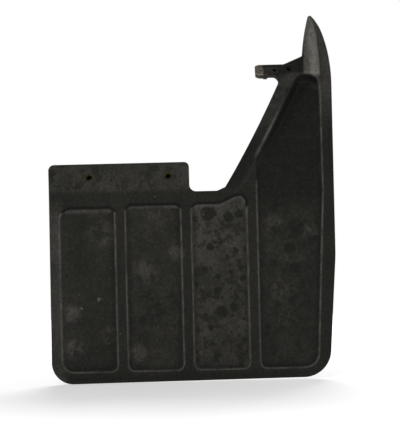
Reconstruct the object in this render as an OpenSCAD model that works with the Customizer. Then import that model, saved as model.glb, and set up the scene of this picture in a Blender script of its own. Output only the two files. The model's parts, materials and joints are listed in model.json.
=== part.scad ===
// Moulded rubber mud flap with a bolting flange, a raised band, a hood, a horn and a small lug.
// X runs to the flap's right, Z up and Y away from the wheel-side face.
// The origin is midway between the two flange bolts, on the flange's front face.

/* [Sheet] */
// Thickness of the moulded rubber
sheet_t = 5.5; // [4.5:0.5:7]
// Left edge, from the middle of the bolts
left_reach = 98; // [82:1:118]
// Right edge, from the middle of the bolts
right_reach = 246; // [236:1:296]
// Bottom edge, below the bolts
drop = 248; // [200:1:300]
// How far the bottom edge rises to the right
bottom_rise = 2.4; // [0:0.2:6]
// How far the right edge comes in at the bottom
bottom_taper = 10; // [0:1:14]
// Where the right edge starts to come in, below the bolts
taper_drop = 100; // [60:5:150]
// Radius of the bottom left corner
left_corner_r = 26; // [8:1:36]
// Radius of the bottom right corner
right_corner_r = 33; // [8:1:38]

/* [Flange] */
// Distance between the two bolts
bolt_pitch = 95; // [80:1:115]
// Diameter of the holes for the bolts
bolt_hole_d = 8.4; // [7:0.1:10]
// Height of the flange above the bolts
flange_rise = 16; // [14:1:24]
// Right side of the flange, from the middle of the bolts
flange_right = 72.5; // [70:0.5:84]
// Width of the notch beside the flange
notch_w = 33; // [20:1:40]
// Depth of the notch below the bolts
notch_drop = 19.5; // [15:0.5:20]

/* [Panels] */
// Width of each of the three short panels
panel_w = 66.3; // [50:0.1:80]
// Width of the ribs between the panels
rib_w = 13; // [8:0.5:18]
// Width of the border round the panels
border_w = 13.5; // [8:0.5:18]
// Top of the short panels, below the bolts
panel_top_drop = 34.5; // [30:0.5:50]
// How deep the panels are pressed into the sheet
panel_depth = 1.8; // [0.8:0.1:2.5]
// Radius of the panels' corners
panel_corner_r = 8; // [3:0.5:12]

/* [Band, hood and horn] */
// Width of the raised band along the slanted edge
band_w = 15; // [12:0.5:18]
// Height of the band at its foot
band_foot_h = 1.2; // [0.6:0.1:3]
// How far the slanted edge bows in
band_bow = 2; // [0:0.5:4]
// Height of the pocket's top above the bolts
pocket_top = 109; // [100:1:112]
// Height above the bolts where the shelf would meet the sheet
hood_top = 139.6; // [136:0.2:150]
// How far the hood stands forward of the sheet
hood_reach = 19; // [16:0.5:23]
// Tilt of the shelf and the lug, away from upright
shelf_tilt = 42; // [38:1:46]
// Width of the hood and the horn, from the hood's left side to the right edge
hood_w = 62; // [56:1:66]
// Width of the horn at its root
horn_w = 34.6; // [30:0.2:38]
// Height of the horn's tip above the bolts
horn_top = 188; // [170:1:210]

/* [Lug and its hardware] */
// Length of the lug beyond the hood
lug_len = 30; // [26:0.5:36]
// Width of the lug
lug_w = 17.5; // [16:0.5:21]
// Distance from the top of the shelf's slope to the lug
lug_start = 13.7; // [12:0.1:15]
// Diameter of the hole through the shelf's rubber
lug_hole_d = 8.4; // [7.4:0.1:9]
// Diameter of the hole in the steel tongue, behind the rubber's hole
tongue_hole_d = 6.4; // [5.4:0.1:6.8]
// Thickness of the steel tongue inside the lug
tongue_t = 1.5; // [1:0.1:2.5]
// Thickness of the clip's spring steel
clip_t = 0.9; // [0.6:0.1:1.2]
// Diameter of the hole for the clip's screw
clip_hole_d = 4.8; // [4.4:0.1:6]
// Diameter of the clip's screw thread
clip_thread_d = 3.6; // [3:0.1:4.2]

/* [Flange hardware] */
// Thickness of the nut plate
plate_t = 2; // [1.5:0.1:3]
// Height of the nut plate
plate_h = 22; // [20:1:26]
// Length of the nut plate beyond each bolt
plate_end = 14; // [12:0.5:18]
// Diameter of the bolt thread in the clinch nuts
nut_thread_d = 5; // [4:0.1:6]
// Diameter of the clinch nut's shank
nut_shank_d = 9; // [8.6:0.1:10]
// Width of the clinch nut's body
nut_body_d = 11; // [10.6:0.1:13]
// Length of the clinch nut's body behind the plate
nut_body_len = 10; // [8:0.5:14]

/* [Flex line] */
// Distance of the flex line below the bolts
flex_drop = 22; // [22:0.5:26]
// Gap in the joint that stands for the rubber's bend
flex_gap = 0.45; // [0.4:0.05:0.6]

/* [Hidden] */

$fn = 48;
// Steps in each rounded corner and along each bowed edge
arc_steps = 6;
bow_steps = 8;
// How far a cut runs past the face that it opens
past = 1;
// Deep enough in Y to reach through the whole part
reach_y = 60;

rubber_black = [0.16, 0.16, 0.15];
rubber_worn = [0.2, 0.2, 0.19];
zinc_yellow = [0.62, 0.55, 0.32];
steel_grey = [0.55, 0.55, 0.56];
spring_steel = [0.5, 0.47, 0.42];

// Front-view places, as [x, z]
flex_z = -flex_drop;
band_low_z = flex_z + flex_gap;
flange_left = 1.5 - left_reach;
hood_left = right_reach - hood_w;
horn_left = right_reach - horn_w;
rim_x = right_reach - border_w - 1;
foot_w = 10;
foot_rise = 4.2;
band_foot = [flange_right + notch_w + foot_w, foot_rise - notch_drop];
band_top = [hood_left - 3, pocket_top - 3];
band_along = unit(band_top - band_foot);
band_across = [band_along[1], -band_along[0]];
ridge_foot = band_foot + band_across * band_w;
ridge_top = meet(band_top + band_across * band_w, band_along, [0, pocket_top], [1, 0]);
shelf_corner = [hood_left, hood_top - 12.2];
lug_under_z = hood_top - cos(shelf_tilt) * (lug_start + lug_w) - sin(shelf_tilt) * sheet_t;
gusset_w = 6;
gusset_r = min(5, lug_under_z - band_top[1] - 0.5);
shelf_end = [horn_left, hood_top];
ridge_over = [ridge_top[0], hood_top - 6];

// Panel places
panel_pitch = panel_w + rib_w;
panel_left = border_w - left_reach;
tall_left = panel_left + 3 * panel_pitch;
panel_low = 14.5 - drop;
tall_crossing = meet(ridge_foot, ridge_top - ridge_foot, [tall_left, 0], [0, 1]);

// Side-view places of the hood, as [y, z]
slope_down = [-sin(shelf_tilt), -cos(shelf_tilt)];
hood_edge = [-hood_reach, hood_top - hood_reach / tan(shelf_tilt)];
pocket_edge = [0, pocket_top];
horn_tip_h = 1;
horn_setback = 1.5;
horn_slope = (hood_reach - horn_setback - horn_tip_h) / (horn_top - hood_edge[1]);
horn_edge = meet([-horn_tip_h, horn_top], [horn_slope, 1], pocket_edge, hood_edge - pocket_edge);

// Sizes of the joint that stands for the rubber's bend
nose_r = sheet_t / 2 - 0.15;
groove_r = nose_r + flex_gap;

// Places on the tilted shelf, as x and the distance down its slope
lug_tip_x = hood_left - lug_len;
lug_hole_x = hood_left + 10.8;
lug_hole_s = lug_start + 7.6;
clip_hole_x = lug_tip_x + 23.3;
clip_hole_s = lug_start + 11;
tail_half_w = 4.5;
tongue_gap = 2.5;
tongue_low_s = lug_hole_s + 5;
clip_low_s = lug_start + lug_w;
clip_high_s = lug_start + 1.5;
clip_wide = 9.5;
clip_long = 28;
clip_lip_w = 4.5;
clip_lip_len = 1.4;
barrel_d = 6.4;
barrel_len = 2.4;

function unit(v) = v / norm(v);

// Where the line through p along d crosses the line through q along e
function meet(p, d, q, e) = p + d * cross(q - p, e) / cross(d, e);

// The corner at b, between a and c, as points on an arc of radius r
function corner(a, b, c, r) =
    let (
        u = unit(a - b),
        w = unit(c - b),
        half = acos(u * w) / 2,
        centre = b + unit(u + w) * r / sin(half),
        first = b + u * r / tan(half) - centre,
        last = b + w * r / tan(half) - centre,
        start = atan2(first[1], first[0]),
        turn = atan2(cross(first, last), first * last)
    )
    [for (i = [0 : arc_steps])
        centre + r * [cos(start + turn * i / arc_steps), sin(start + turn * i / arc_steps)]];

function flat(p) = [p[0], p[1]];

// An outline whose points are [x, z] for a sharp corner or [x, z, radius] for a round one
function rounded(pts) =
    let (n = len(pts))
    [for (i = [0 : n - 1])
        each len(pts[i]) == 3
            ? corner(flat(pts[(i + n - 1) % n]), flat(pts[i]), flat(pts[(i + 1) % n]), pts[i][2])
            : [pts[i]]];

// The points between a and b on a shallow bow that bulges to the right of the way
function bowed(a, b, bow) =
    let (side = unit([b[1] - a[1], a[0] - b[0]]))
    [for (i = [1 : bow_steps - 1])
        let (t = i / bow_steps) a + (b - a) * t + side * 4 * bow * t * (1 - t)];

// The path pts with a second side at the distance t to its right, as one outline
function thick(pts, t) =
    let (
        n = len(pts),
        dir = [for (i = [0 : n - 2]) unit(pts[i + 1] - pts[i])],
        off = [for (d = dir) [d[1], -d[0]] * t],
        back = [for (i = [0 : n - 1])
            i == 0 ? pts[0] + off[0]
            : i == n - 1 ? pts[i] + off[i - 1]
            : meet(pts[i - 1] + off[i - 1], dir[i - 1], pts[i] + off[i], dir[i])]
    )
    concat(pts, [for (i = [n - 1 : -1 : 0]) back[i]]);

// The right edge above the flex line, and the inner edge of the rim beside the horn
function quarter(x, z, w, h, top) =
    [for (i = [0 : bow_steps])
        let (rise = (top - z) * sin(90 * i / bow_steps))
        [x - w * (1 - sqrt(1 - pow(rise / h, 2))), z + rise]];

function slanted_edge() = concat([band_foot], bowed(band_foot, band_top, band_bow), [band_top]);
function ridge() = concat([ridge_foot], bowed(ridge_foot, ridge_top, band_bow), [ridge_top]);
function reversed(pts) = [for (i = [len(pts) - 1 : -1 : 0]) pts[i]];
function horn_back() = bowed(shelf_end, [right_reach - 26.5, horn_top - 1], -1.2);

// Draws the front-view outline pts as a slab from y0 back to y1
module slab(pts, y0, y1) {
    translate([0, y1, 0])
        rotate([90, 0, 0])
            linear_extrude(y1 - y0)
                polygon(pts);
}

// Draws the side-view outline pts as a rail from x0 to x1
module rail(pts, x0, x1) {
    translate([x0, 0, 0])
        rotate([90, 0, 90])
            linear_extrude(x1 - x0)
                polygon(pts);
}

// Lays its children on the shelf: their XZ plane becomes the shelf's face, with Z up its slope
module on_shelf() {
    translate([0, 0, hood_top])
        rotate([-shelf_tilt, 0, 0])
            children();
}

// A hole of diameter d through a plate from y0 back to y1
module hole(x, z, d, y0, y1) {
    translate([x, y1, z])
        rotate([90, 0, 0])
            cylinder(d = d, h = y1 - y0);
}

// The two flange bolts' places
module at_bolts() {
    for (side = [-1, 1])
        translate([side * bolt_pitch / 2, 0, 0])
            children();
}

module head_sheet() {
    outline = concat(
        rounded([
            [flange_left, flex_z],
            [flange_left, flange_rise, 7],
            [flange_right, flange_rise, 6],
            [flange_right, -notch_drop, 8],
            [band_foot[0] - foot_w, -notch_drop]
        ]),
        slanted_edge(),
        [[hood_left, pocket_top], shelf_corner, shelf_end],
        horn_back(),
        reversed(quarter(right_reach, horn_top - 83, 38, 90, horn_top)),
        [[right_reach, flex_z]]
    );
    slab(outline, 0, sheet_t);
}

// The part of the sheet that the raised band and the hood leave open behind them
module hood_hollow() {
    solid_foot = band_along * 8;
    outer_foot = band_foot - band_across * past + solid_foot;
    inner_foot = ridge_foot - band_across * sheet_t + solid_foot;
    inner_top = ridge_top - [sheet_t / band_across[0], 0];
    slab(
        concat(
            [outer_foot],
            [band_top - band_across * past],
            [[hood_left - past, shelf_corner[1] + past], shelf_end + [-past, 2 * past]],
            [[horn_left, hood_top], [horn_left, pocket_top], inner_top + [0, 0.01]],
            reversed(bowed(inner_foot, inner_top, band_bow)),
            [inner_foot]
        ),
        -past, sheet_t + past
    );
}

// The raised band, which carries on up into the shelf
module band_and_shelf() {
    path = [[-band_foot_h, band_low_z], hood_edge, hood_edge - slope_down * 60];
    intersection() {
        slab(
            concat(
                slanted_edge(),
                corner(band_top, [band_top[0], lug_under_z], [band_top[0] - gusset_w, lug_under_z], gusset_r),
                [[band_top[0] - gusset_w, lug_under_z], [band_top[0] - gusset_w, lug_under_z + 0.4]],
                [[hood_left, lug_under_z + 0.4], shelf_corner, ridge_over],
                reversed(ridge())
            ),
            -reach_y, reach_y
        );
        rail(thick(path, sheet_t), 0, right_reach);
    }
}

// The wall that carries the band's ridge
module ridge_wall() {
    side = band_across * sheet_t;
    intersection() {
        slab(
            concat(ridge(), [[ridge_top[0], pocket_top + 6], [ridge_top[0] - side[0], pocket_top + 6]],
                reversed([for (p = ridge()) p - side])),
            -reach_y, reach_y
        );
        rail(
            [[-band_foot_h, band_low_z], hood_edge, [sheet_t, hood_edge[1]], [sheet_t, band_low_z]],
            0, right_reach
        );
    }
}

// The hood's shelf, near edge and drop wall, from the ridge to the rim
module hood() {
    path = [[0, pocket_top - 10], pocket_edge, hood_edge, hood_edge - slope_down * 60];
    intersection() {
        slab(
            [ridge_top, ridge_over, shelf_end, [rim_x, hood_top], [rim_x, pocket_top]],
            -reach_y, reach_y
        );
        rail(thick(path, sheet_t), 0, rim_x);
    }
}

// The tall horn, a solid wedge that thins towards its tip
module horn() {
    top = horn_top + 4;
    tip_y = -horn_tip_h + horn_slope * 4;
    intersection() {
        slab(
            concat(
                [[horn_left, pocket_top], shelf_end],
                horn_back(),
                reversed(quarter(rim_x, pocket_top, 12, 80, horn_top - 1))
            ),
            -reach_y, reach_y
        );
        rail([[sheet_t, pocket_top], pocket_edge, horn_edge, [tip_y, top], [sheet_t, top]], 0, rim_x);
    }
}

module lug() {
    on_shelf()
        slab(
            rounded([
                [hood_left + 2, -lug_start],
                [lug_tip_x + clip_t, -lug_start, 5],
                [lug_tip_x + clip_t, -lug_start - lug_w, 4],
                [hood_left + 2, -lug_start - lug_w]
            ]),
            0, sheet_t
        );
}

// The steel tongue's own shape, which is also the space that the rubber leaves for it
module tongue_shape() {
    on_shelf()
        slab(
            rounded([
                [lug_tip_x + 6, -lug_start - tongue_gap, 3],
                [lug_tip_x + 6, -lug_start - lug_w + 1.5, 3],
                [hood_left + 2, -lug_start - lug_w + 1.5, 1.5],
                [hood_left + 2, -tongue_low_s, 1.5],
                [lug_hole_x + 8.5, -tongue_low_s, 4],
                [lug_hole_x + 8.5, -lug_start - tongue_gap, 4]
            ]),
            (sheet_t - tongue_t) / 2, (sheet_t + tongue_t) / 2
        );
}

// The two holes through the lug and the shelf; the bolt's is lug_d wide
module shelf_holes(lug_d) {
    on_shelf() {
        hole(lug_hole_x, -lug_hole_s, lug_d, -past, sheet_t + past);
        hole(clip_hole_x, -clip_hole_s, clip_hole_d, -past, sheet_t + past);
    }
}

module plate_outline(y0, y1) {
    end_x = bolt_pitch / 2 + plate_end;
    slab(
        rounded([
            [-end_x, -plate_h / 2, 3],
            [end_x, -plate_h / 2, 3],
            [end_x, plate_h / 2, 3],
            [-end_x, plate_h / 2, 3]
        ]),
        y0, y1
    );
}

// The tall panel, which runs from the skirt up into the hood's pocket
module tall_panel() {
    bottom_right = rim_x + 1 - bottom_taper;
    slab(
        concat(
            rounded([
                [tall_left, tall_crossing[1] - 6, 4],
                [tall_left, panel_low, panel_corner_r],
                [bottom_right, panel_low, 17],
                [rim_x + 1, flex_z, 60],
                [rim_x, pocket_top, 7],
                [ridge_top[0], pocket_top]
            ]),
            reversed(bowed(tall_crossing, ridge_top, band_bow / 2)),
            [tall_crossing]
        ),
        -past, panel_depth
    );
}

// One of the three short panels
module short_panel(left, outer_r) {
    slab(
        rounded([
            [left, -panel_top_drop, outer_r],
            [left, panel_low, outer_r],
            [left + panel_w, panel_low, panel_corner_r],
            [left + panel_w, -panel_top_drop, panel_corner_r]
        ]),
        -past, panel_depth
    );
}

module flex_round(r) {
    translate([flange_left, sheet_t / 2, flex_z])
        rotate([0, 90, 0])
            cylinder(r = r, h = right_reach - flange_left);
}

module flap_head() {
    color(rubber_black)
        difference() {
            union() {
                difference() {
                    head_sheet();
                    hood_hollow();
                }
                flex_round(nose_r);
                band_and_shelf();
                ridge_wall();
                hood();
                horn();
                lug();
            }
            tall_panel();
            at_bolts()
                hole(0, 0, bolt_hole_d, -past, sheet_t);
            plate_outline(sheet_t - plate_t, sheet_t + past);
            tongue_shape();
            shelf_holes(lug_hole_d);
        }
}

module flap_skirt() {
    outline = rounded([
        [flange_left, flex_z],
        [-left_reach, -drop, left_corner_r],
        [right_reach - bottom_taper, bottom_rise - drop, right_corner_r],
        [right_reach, -taper_drop, 200],
        [right_reach, flex_z]
    ]);
    color(rubber_worn)
        difference() {
            slab(outline, 0, sheet_t);
            translate([-past, 0, 0])
                flex_round(groove_r);
            translate([past, 0, 0])
                flex_round(groove_r);
            for (i = [0 : 2])
                short_panel(panel_left + i * panel_pitch, i == 0 ? 14 : panel_corner_r);
            tall_panel();
        }
}

module nut_plate() {
    color(zinc_yellow)
        difference() {
            plate_outline(sheet_t - plate_t, sheet_t);
            at_bolts()
                hole(0, 0, nut_shank_d, sheet_t - plate_t - past, sheet_t + past);
        }
}

// A closed-end nut: a round shank in the plate and a six-sided body behind it
module clinch_nut() {
    front = sheet_t - plate_t;
    back = sheet_t + nut_body_len;
    difference() {
        union() {
            hole(0, 0, nut_shank_d, front, sheet_t);
            translate([0, back, 0])
                rotate([90, 0, 0])
                    cylinder(d = nut_body_d, h = nut_body_len, $fn = 6);
        }
        hole(0, 0, nut_thread_d, front - past, back - plate_t);
    }
}

module clinch_nuts() {
    color(zinc_yellow)
        at_bolts()
            clinch_nut();
}

module lug_tongue() {
    color(steel_grey)
        difference() {
            tongue_shape();
            shelf_holes(tongue_hole_d);
        }
}

// One leaf of the clip: a wide end and a narrower tail with the screw's hole
module clip_leaf(y0, y1) {
    wide_x = lug_tip_x + clip_wide;
    tail_x = lug_tip_x + clip_long;
    slab(
        rounded([
            [lug_tip_x + 3, -clip_low_s],
            [lug_tip_x + 3, -clip_high_s],
            [wide_x, -clip_high_s, 1],
            [wide_x + 2, tail_half_w - clip_hole_s, 1],
            [tail_x, tail_half_w - clip_hole_s, 2],
            [tail_x, -tail_half_w - clip_hole_s, 2],
            [wide_x + clip_lip_w + 2, -tail_half_w - clip_hole_s, 0.5],
            [wide_x + clip_lip_w, -clip_low_s, 0.5]
        ]),
        y0, y1
    );
}

module clip_fold() {
    translate([0, 0, -clip_low_s])
        linear_extrude(clip_low_s - clip_high_s)
            difference() {
                polygon(rounded([
                    [lug_tip_x, -clip_t, 1.6],
                    [lug_tip_x + 3, -clip_t],
                    [lug_tip_x + 3, sheet_t + clip_t],
                    [lug_tip_x, sheet_t + clip_t, 1.6]
                ]));
                translate([lug_tip_x + clip_t, 0])
                    square([3, sheet_t]);
            }
}

module clip_nut() {
    leaf_back = sheet_t + clip_t;
    barrel_back = leaf_back + barrel_len;
    color(spring_steel)
        on_shelf()
            difference() {
                union() {
                    clip_fold();
                    clip_leaf(-clip_t, 0);
                    clip_leaf(sheet_t, leaf_back);
                    hole(clip_hole_x, -clip_hole_s, barrel_d, sheet_t, barrel_back);
                    translate([lug_tip_x + clip_wide, sheet_t, -clip_low_s])
                        cube([clip_lip_w, clip_t + clip_lip_len, clip_t]);
                }
                hole(clip_hole_x, -clip_hole_s, clip_hole_d, -clip_t - past, past);
                hole(clip_hole_x, -clip_hole_s, clip_thread_d, 0, barrel_back + past);
            }
}

flap_head();
flap_skirt();
nut_plate();
clinch_nuts();
lug_tongue();
clip_nut();
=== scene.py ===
"""Moulded rubber mud flap with its metal inserts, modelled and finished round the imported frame.

Lengths in this file are millimetres in the part's own frame: X to the flap's right, Y away from the
wheel side and Z up, with the origin between the two flange bolts. Meshes are turned into metres last.
"""
import json
import logging
import math
from dataclasses import dataclass
from enum import Enum

import bmesh
import bpy
import numpy as np
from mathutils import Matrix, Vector, geometry, kdtree


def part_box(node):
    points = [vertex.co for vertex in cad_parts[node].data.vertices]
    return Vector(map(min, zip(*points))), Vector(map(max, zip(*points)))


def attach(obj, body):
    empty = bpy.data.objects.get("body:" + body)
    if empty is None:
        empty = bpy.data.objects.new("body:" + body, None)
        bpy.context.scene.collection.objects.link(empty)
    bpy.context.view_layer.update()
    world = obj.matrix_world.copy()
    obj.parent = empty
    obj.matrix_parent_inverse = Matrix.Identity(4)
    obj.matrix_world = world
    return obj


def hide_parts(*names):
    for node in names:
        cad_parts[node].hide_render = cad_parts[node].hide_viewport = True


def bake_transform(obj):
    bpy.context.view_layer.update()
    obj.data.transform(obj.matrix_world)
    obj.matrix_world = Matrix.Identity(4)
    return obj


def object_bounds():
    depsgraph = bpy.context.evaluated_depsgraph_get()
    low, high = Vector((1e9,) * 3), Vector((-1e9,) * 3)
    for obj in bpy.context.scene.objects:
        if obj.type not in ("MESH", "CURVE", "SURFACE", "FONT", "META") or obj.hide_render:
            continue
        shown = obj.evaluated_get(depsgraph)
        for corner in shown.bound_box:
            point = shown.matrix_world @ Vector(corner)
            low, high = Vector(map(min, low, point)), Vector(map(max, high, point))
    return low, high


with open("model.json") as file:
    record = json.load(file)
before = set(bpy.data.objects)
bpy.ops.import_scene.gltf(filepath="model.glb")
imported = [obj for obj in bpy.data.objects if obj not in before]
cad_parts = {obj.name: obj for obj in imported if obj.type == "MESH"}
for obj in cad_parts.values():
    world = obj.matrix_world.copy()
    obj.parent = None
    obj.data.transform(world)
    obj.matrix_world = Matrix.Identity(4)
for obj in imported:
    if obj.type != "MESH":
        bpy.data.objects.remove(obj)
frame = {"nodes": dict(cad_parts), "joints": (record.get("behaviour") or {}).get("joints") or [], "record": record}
CAD_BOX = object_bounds()

LOG = logging.getLogger("mud_flap")
MM = 0.001
Points = np.ndarray
Socket = bpy.types.NodeSocket
# Settings of a MapRange node that fades smoothly between its limits
SOFT: dict[str, str] = {"interpolation_type": "SMOOTHSTEP"}


# ---------------------------------------------------------------- plane shapes

def smooth(low: float, high: float, value: Points) -> Points:
    """Ease from 0 at low to 1 at high.

    Args:
        low: value at which the ramp leaves 0.
        high: value at which it reaches 1.
        value: what to ease.

    Returns:
        The eased values.
    """
    t = np.clip((np.asarray(value, float) - low) / (high - low), 0.0, 1.0)
    return t * t * (3.0 - 2.0 * t)


def soft_min(a: Points, b: Points, width: float) -> Points:
    """Take the smaller of two surfaces, with a moulded fillet where they cross.

    Args:
        a: first surface.
        b: second surface.
        width: size of the fillet, in the surfaces' unit.

    Returns:
        The blended surface.
    """
    h = np.clip(0.5 + 0.5 * (b - a) / width, 0.0, 1.0)
    return b * (1.0 - h) + a * h - width * h * (1.0 - h)


def soft_max(a: Points, b: Points, width: float) -> Points:
    """Take the larger of two surfaces, with a moulded fillet where they cross."""
    return -soft_min(-a, -b, width)


def fillet(corners: list[tuple[float, ...]], step: float = 1.6) -> Points:
    """Round an outline's corners.

    Args:
        corners: (x, z) for a sharp corner, or (x, z, radius) for a round one.
        step: longest side of the arcs' facets.

    Returns:
        The outline's points, one row each.
    """
    made: list[Points] = []
    count = len(corners)
    for i, corner in enumerate(corners):
        here = np.array(corner[:2], float)
        if len(corner) < 3:
            made.append(here)
            continue
        before = np.array(corners[i - 1][:2], float) - here
        after = np.array(corners[(i + 1) % count][:2], float) - here
        u, w = before / np.linalg.norm(before), after / np.linalg.norm(after)
        half = math.acos(float(np.clip(u @ w, -1, 1))) / 2
        middle = (u + w) / np.linalg.norm(u + w)
        centre = here + middle * corner[2] / math.sin(half)
        first = here + u * corner[2] / math.tan(half) - centre
        last = here + w * corner[2] / math.tan(half) - centre
        turn = math.atan2(first[0] * last[1] - first[1] * last[0], float(first @ last))
        start = math.atan2(first[1], first[0])
        steps = max(3, math.ceil(abs(turn) * corner[2] / step))
        for k in range(steps + 1):
            angle = start + turn * k / steps
            made.append(centre + corner[2] * np.array([math.cos(angle), math.sin(angle)]))
    return np.array(made)


def divide(loop: Points, longest: float, closed: bool = True) -> Points:
    """Divide an outline's long sides evenly.

    Args:
        loop: the outline's points.
        longest: longest side that is left.
        closed: whether the last point joins the first.

    Returns:
        The outline with more points.
    """
    made = []
    count = len(loop)
    for i in range(count if closed else count - 1):
        a, b = loop[i], loop[(i + 1) % count]
        length = np.linalg.norm(b - a)
        if length < 1e-6:
            continue
        steps = max(1, math.ceil(length / longest))
        made += [a + (b - a) * k / steps for k in range(steps)]
    if not closed:
        made.append(loop[-1])
    return np.array(made)


def bow(a: Points, b: Points, height: float, steps: int) -> Points:
    """Points from a to b on a shallow bow that bulges to the right of the way.

    Args:
        a: where it starts.
        b: where it ends.
        height: how far it bulges.
        steps: how many sides it has.

    Returns:
        Its points, both ends included.
    """
    t = np.linspace(0, 1, steps + 1)[:, None]
    way = (b - a) / np.linalg.norm(b - a)
    side = np.array([way[1], -way[0]])
    return a + (b - a) * t + side * 4 * height * t * (1 - t)


def inward(loop: Points) -> Points:
    """Find the mitred inward direction at each point of an outline that runs anticlockwise.

    Args:
        loop: the outline's points.

    Returns:
        One vector per point, as long as it takes to move both sides in by 1.
    """
    way = np.roll(loop, -1, axis=0) - loop
    way /= np.linalg.norm(way, axis=1)[:, None]
    side = np.stack([-way[:, 1], way[:, 0]], axis=1)
    both = side + np.roll(side, 1, axis=0)
    return both / np.maximum((both * both).sum(axis=1)[:, None] / 2, 0.5)


def inside(points: Points, loop: Points) -> Points:
    """Tell which points lie inside an outline.

    Args:
        points: the points.
        loop: the outline.

    Returns:
        True for each point that lies inside.
    """
    x, z = points[:, 0][:, None], points[:, 1][:, None]
    a, b = loop, np.roll(loop, -1, axis=0)
    spans = (a[:, 1] > z) != (b[:, 1] > z)
    rise = np.where(b[:, 1] == a[:, 1], 1e-9, b[:, 1] - a[:, 1])
    cross = (b[:, 0] - a[:, 0]) * (z - a[:, 1]) / rise + a[:, 0]
    return (np.logical_and(spans, x < cross).sum(axis=1) % 2).astype(bool)


def depth_inside(points: Points, loop: Points) -> Points:
    """Measure how deep points lie inside an outline, negative outside it.

    Args:
        points: where to measure.
        loop: the outline's points.

    Returns:
        One distance per point.
    """
    made = np.empty(len(points))
    a, b = loop, np.roll(loop, -1, axis=0)
    way = b - a
    size = np.maximum((way * way).sum(axis=1), 1e-12)
    for start in range(0, len(points), 4000):
        part = points[start:start + 4000]
        t = np.clip(((part[:, None] - a) * way).sum(axis=2) / size, 0, 1)
        gap = np.linalg.norm(part[:, None] - (a + way * t[..., None]), axis=2).min(axis=1)
        made[start:start + 4000] = np.where(inside(part, loop), gap, -gap)
    return made


def circle(x: float, z: float, radius: float, count: int, squash: float = 1.0) -> Points:
    """Points of a circle, anticlockwise, with its height squashed."""
    angle = np.linspace(0, 2 * math.pi, count, endpoint=False)
    return np.stack([x + radius * np.cos(angle), z + squash * radius * np.sin(angle)], axis=1)


# ---------------------------------------------------------------- sizes

@dataclass(frozen=True)
class SheetSizes:
    """The flat sheet, its flange and its panels. The overall sizes come from the frame."""

    left: float
    right: float
    bottom: float
    top: float
    thick: float
    bolt_pitch: float
    hinge_z: float
    flange_left: float
    edge_round: float = 1.0
    bottom_rise: float = 2.4
    bottom_taper: float = 10.0
    taper_z: float = -100.0
    left_corner: float = 26.0
    right_corner: float = 33.0
    flange_top: float = 16.0
    flange_right: float = 72.5
    notch_right: float = 105.5
    notch_z: float = -19.5
    bolt_hole: float = 4.2
    border: float = 13.5
    rib: float = 13.0
    panel_wide: float = 66.3
    panel_low: float = -233.5
    panel_high: float = -34.3
    panel_deep: float = 1.8
    panel_corner: float = 8.0
    outer_corner: float = 14.0
    hump_rise: float = 9.3

    @classmethod
    def from_frame(cls) -> "SheetSizes":
        """Read the sheet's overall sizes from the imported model."""
        head_low, head_high = (np.array(corner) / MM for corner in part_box("flap_head"))
        skirt_low, skirt_high = (np.array(corner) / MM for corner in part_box("flap_skirt"))
        mounts = {m["name"]: m for m in frame["record"]["mounts"]}
        return cls(
            left=round(skirt_low[0]),
            right=head_high[0],
            bottom=round(skirt_low[2]),
            top=head_high[2],
            thick=skirt_high[1],
            bolt_pitch=mounts["flange_bolts"]["dims"]["spacing_x_mm"],
            hinge_z=frame["joints"][0]["pos_m"][2] / MM,
            flange_left=head_low[0],
        )


@dataclass(frozen=True)
class HoodSizes:
    """The band, the hood with its tilted shelf, the horn and the lug."""

    band_foot: tuple[float, float] = (115.5, -15.3)
    band_top: tuple[float, float] = (181.0, 106.0)
    band_wide: float = 15.0
    band_bow: float = 2.0
    band_foot_rise: float = 1.2
    flank: float = 11.0
    hood_top: float = 139.6
    hood_edge_y: float = -19.0
    hood_edge_z: float = 118.5
    tilt: float = math.radians(42)
    horn_left: float = 211.4
    rim_x: float = 231.5
    mouth_x: float = 214.5
    mouth_z: float = 100.5
    mouth_wide: float = 16.6
    mouth_high: float = 18.0
    mouth_power: float = 2.2
    pocket_top: float = 109.0
    lug_tip: float = 154.9
    lug_start: float = 13.7
    lug_end: float = 31.2
    lug_hole: tuple[float, float, float] = (194.8, 21.3, 4.2)
    clip_hole: tuple[float, float, float] = (177.3, 24.7, 2.4)

    def on_shelf(self, s: float) -> float:
        """Height of a place on the shelf's front face, s down its slope."""
        return self.hood_top - math.cos(self.tilt) * s


# ---------------------------------------------------------------- the rubber's two faces

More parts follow.
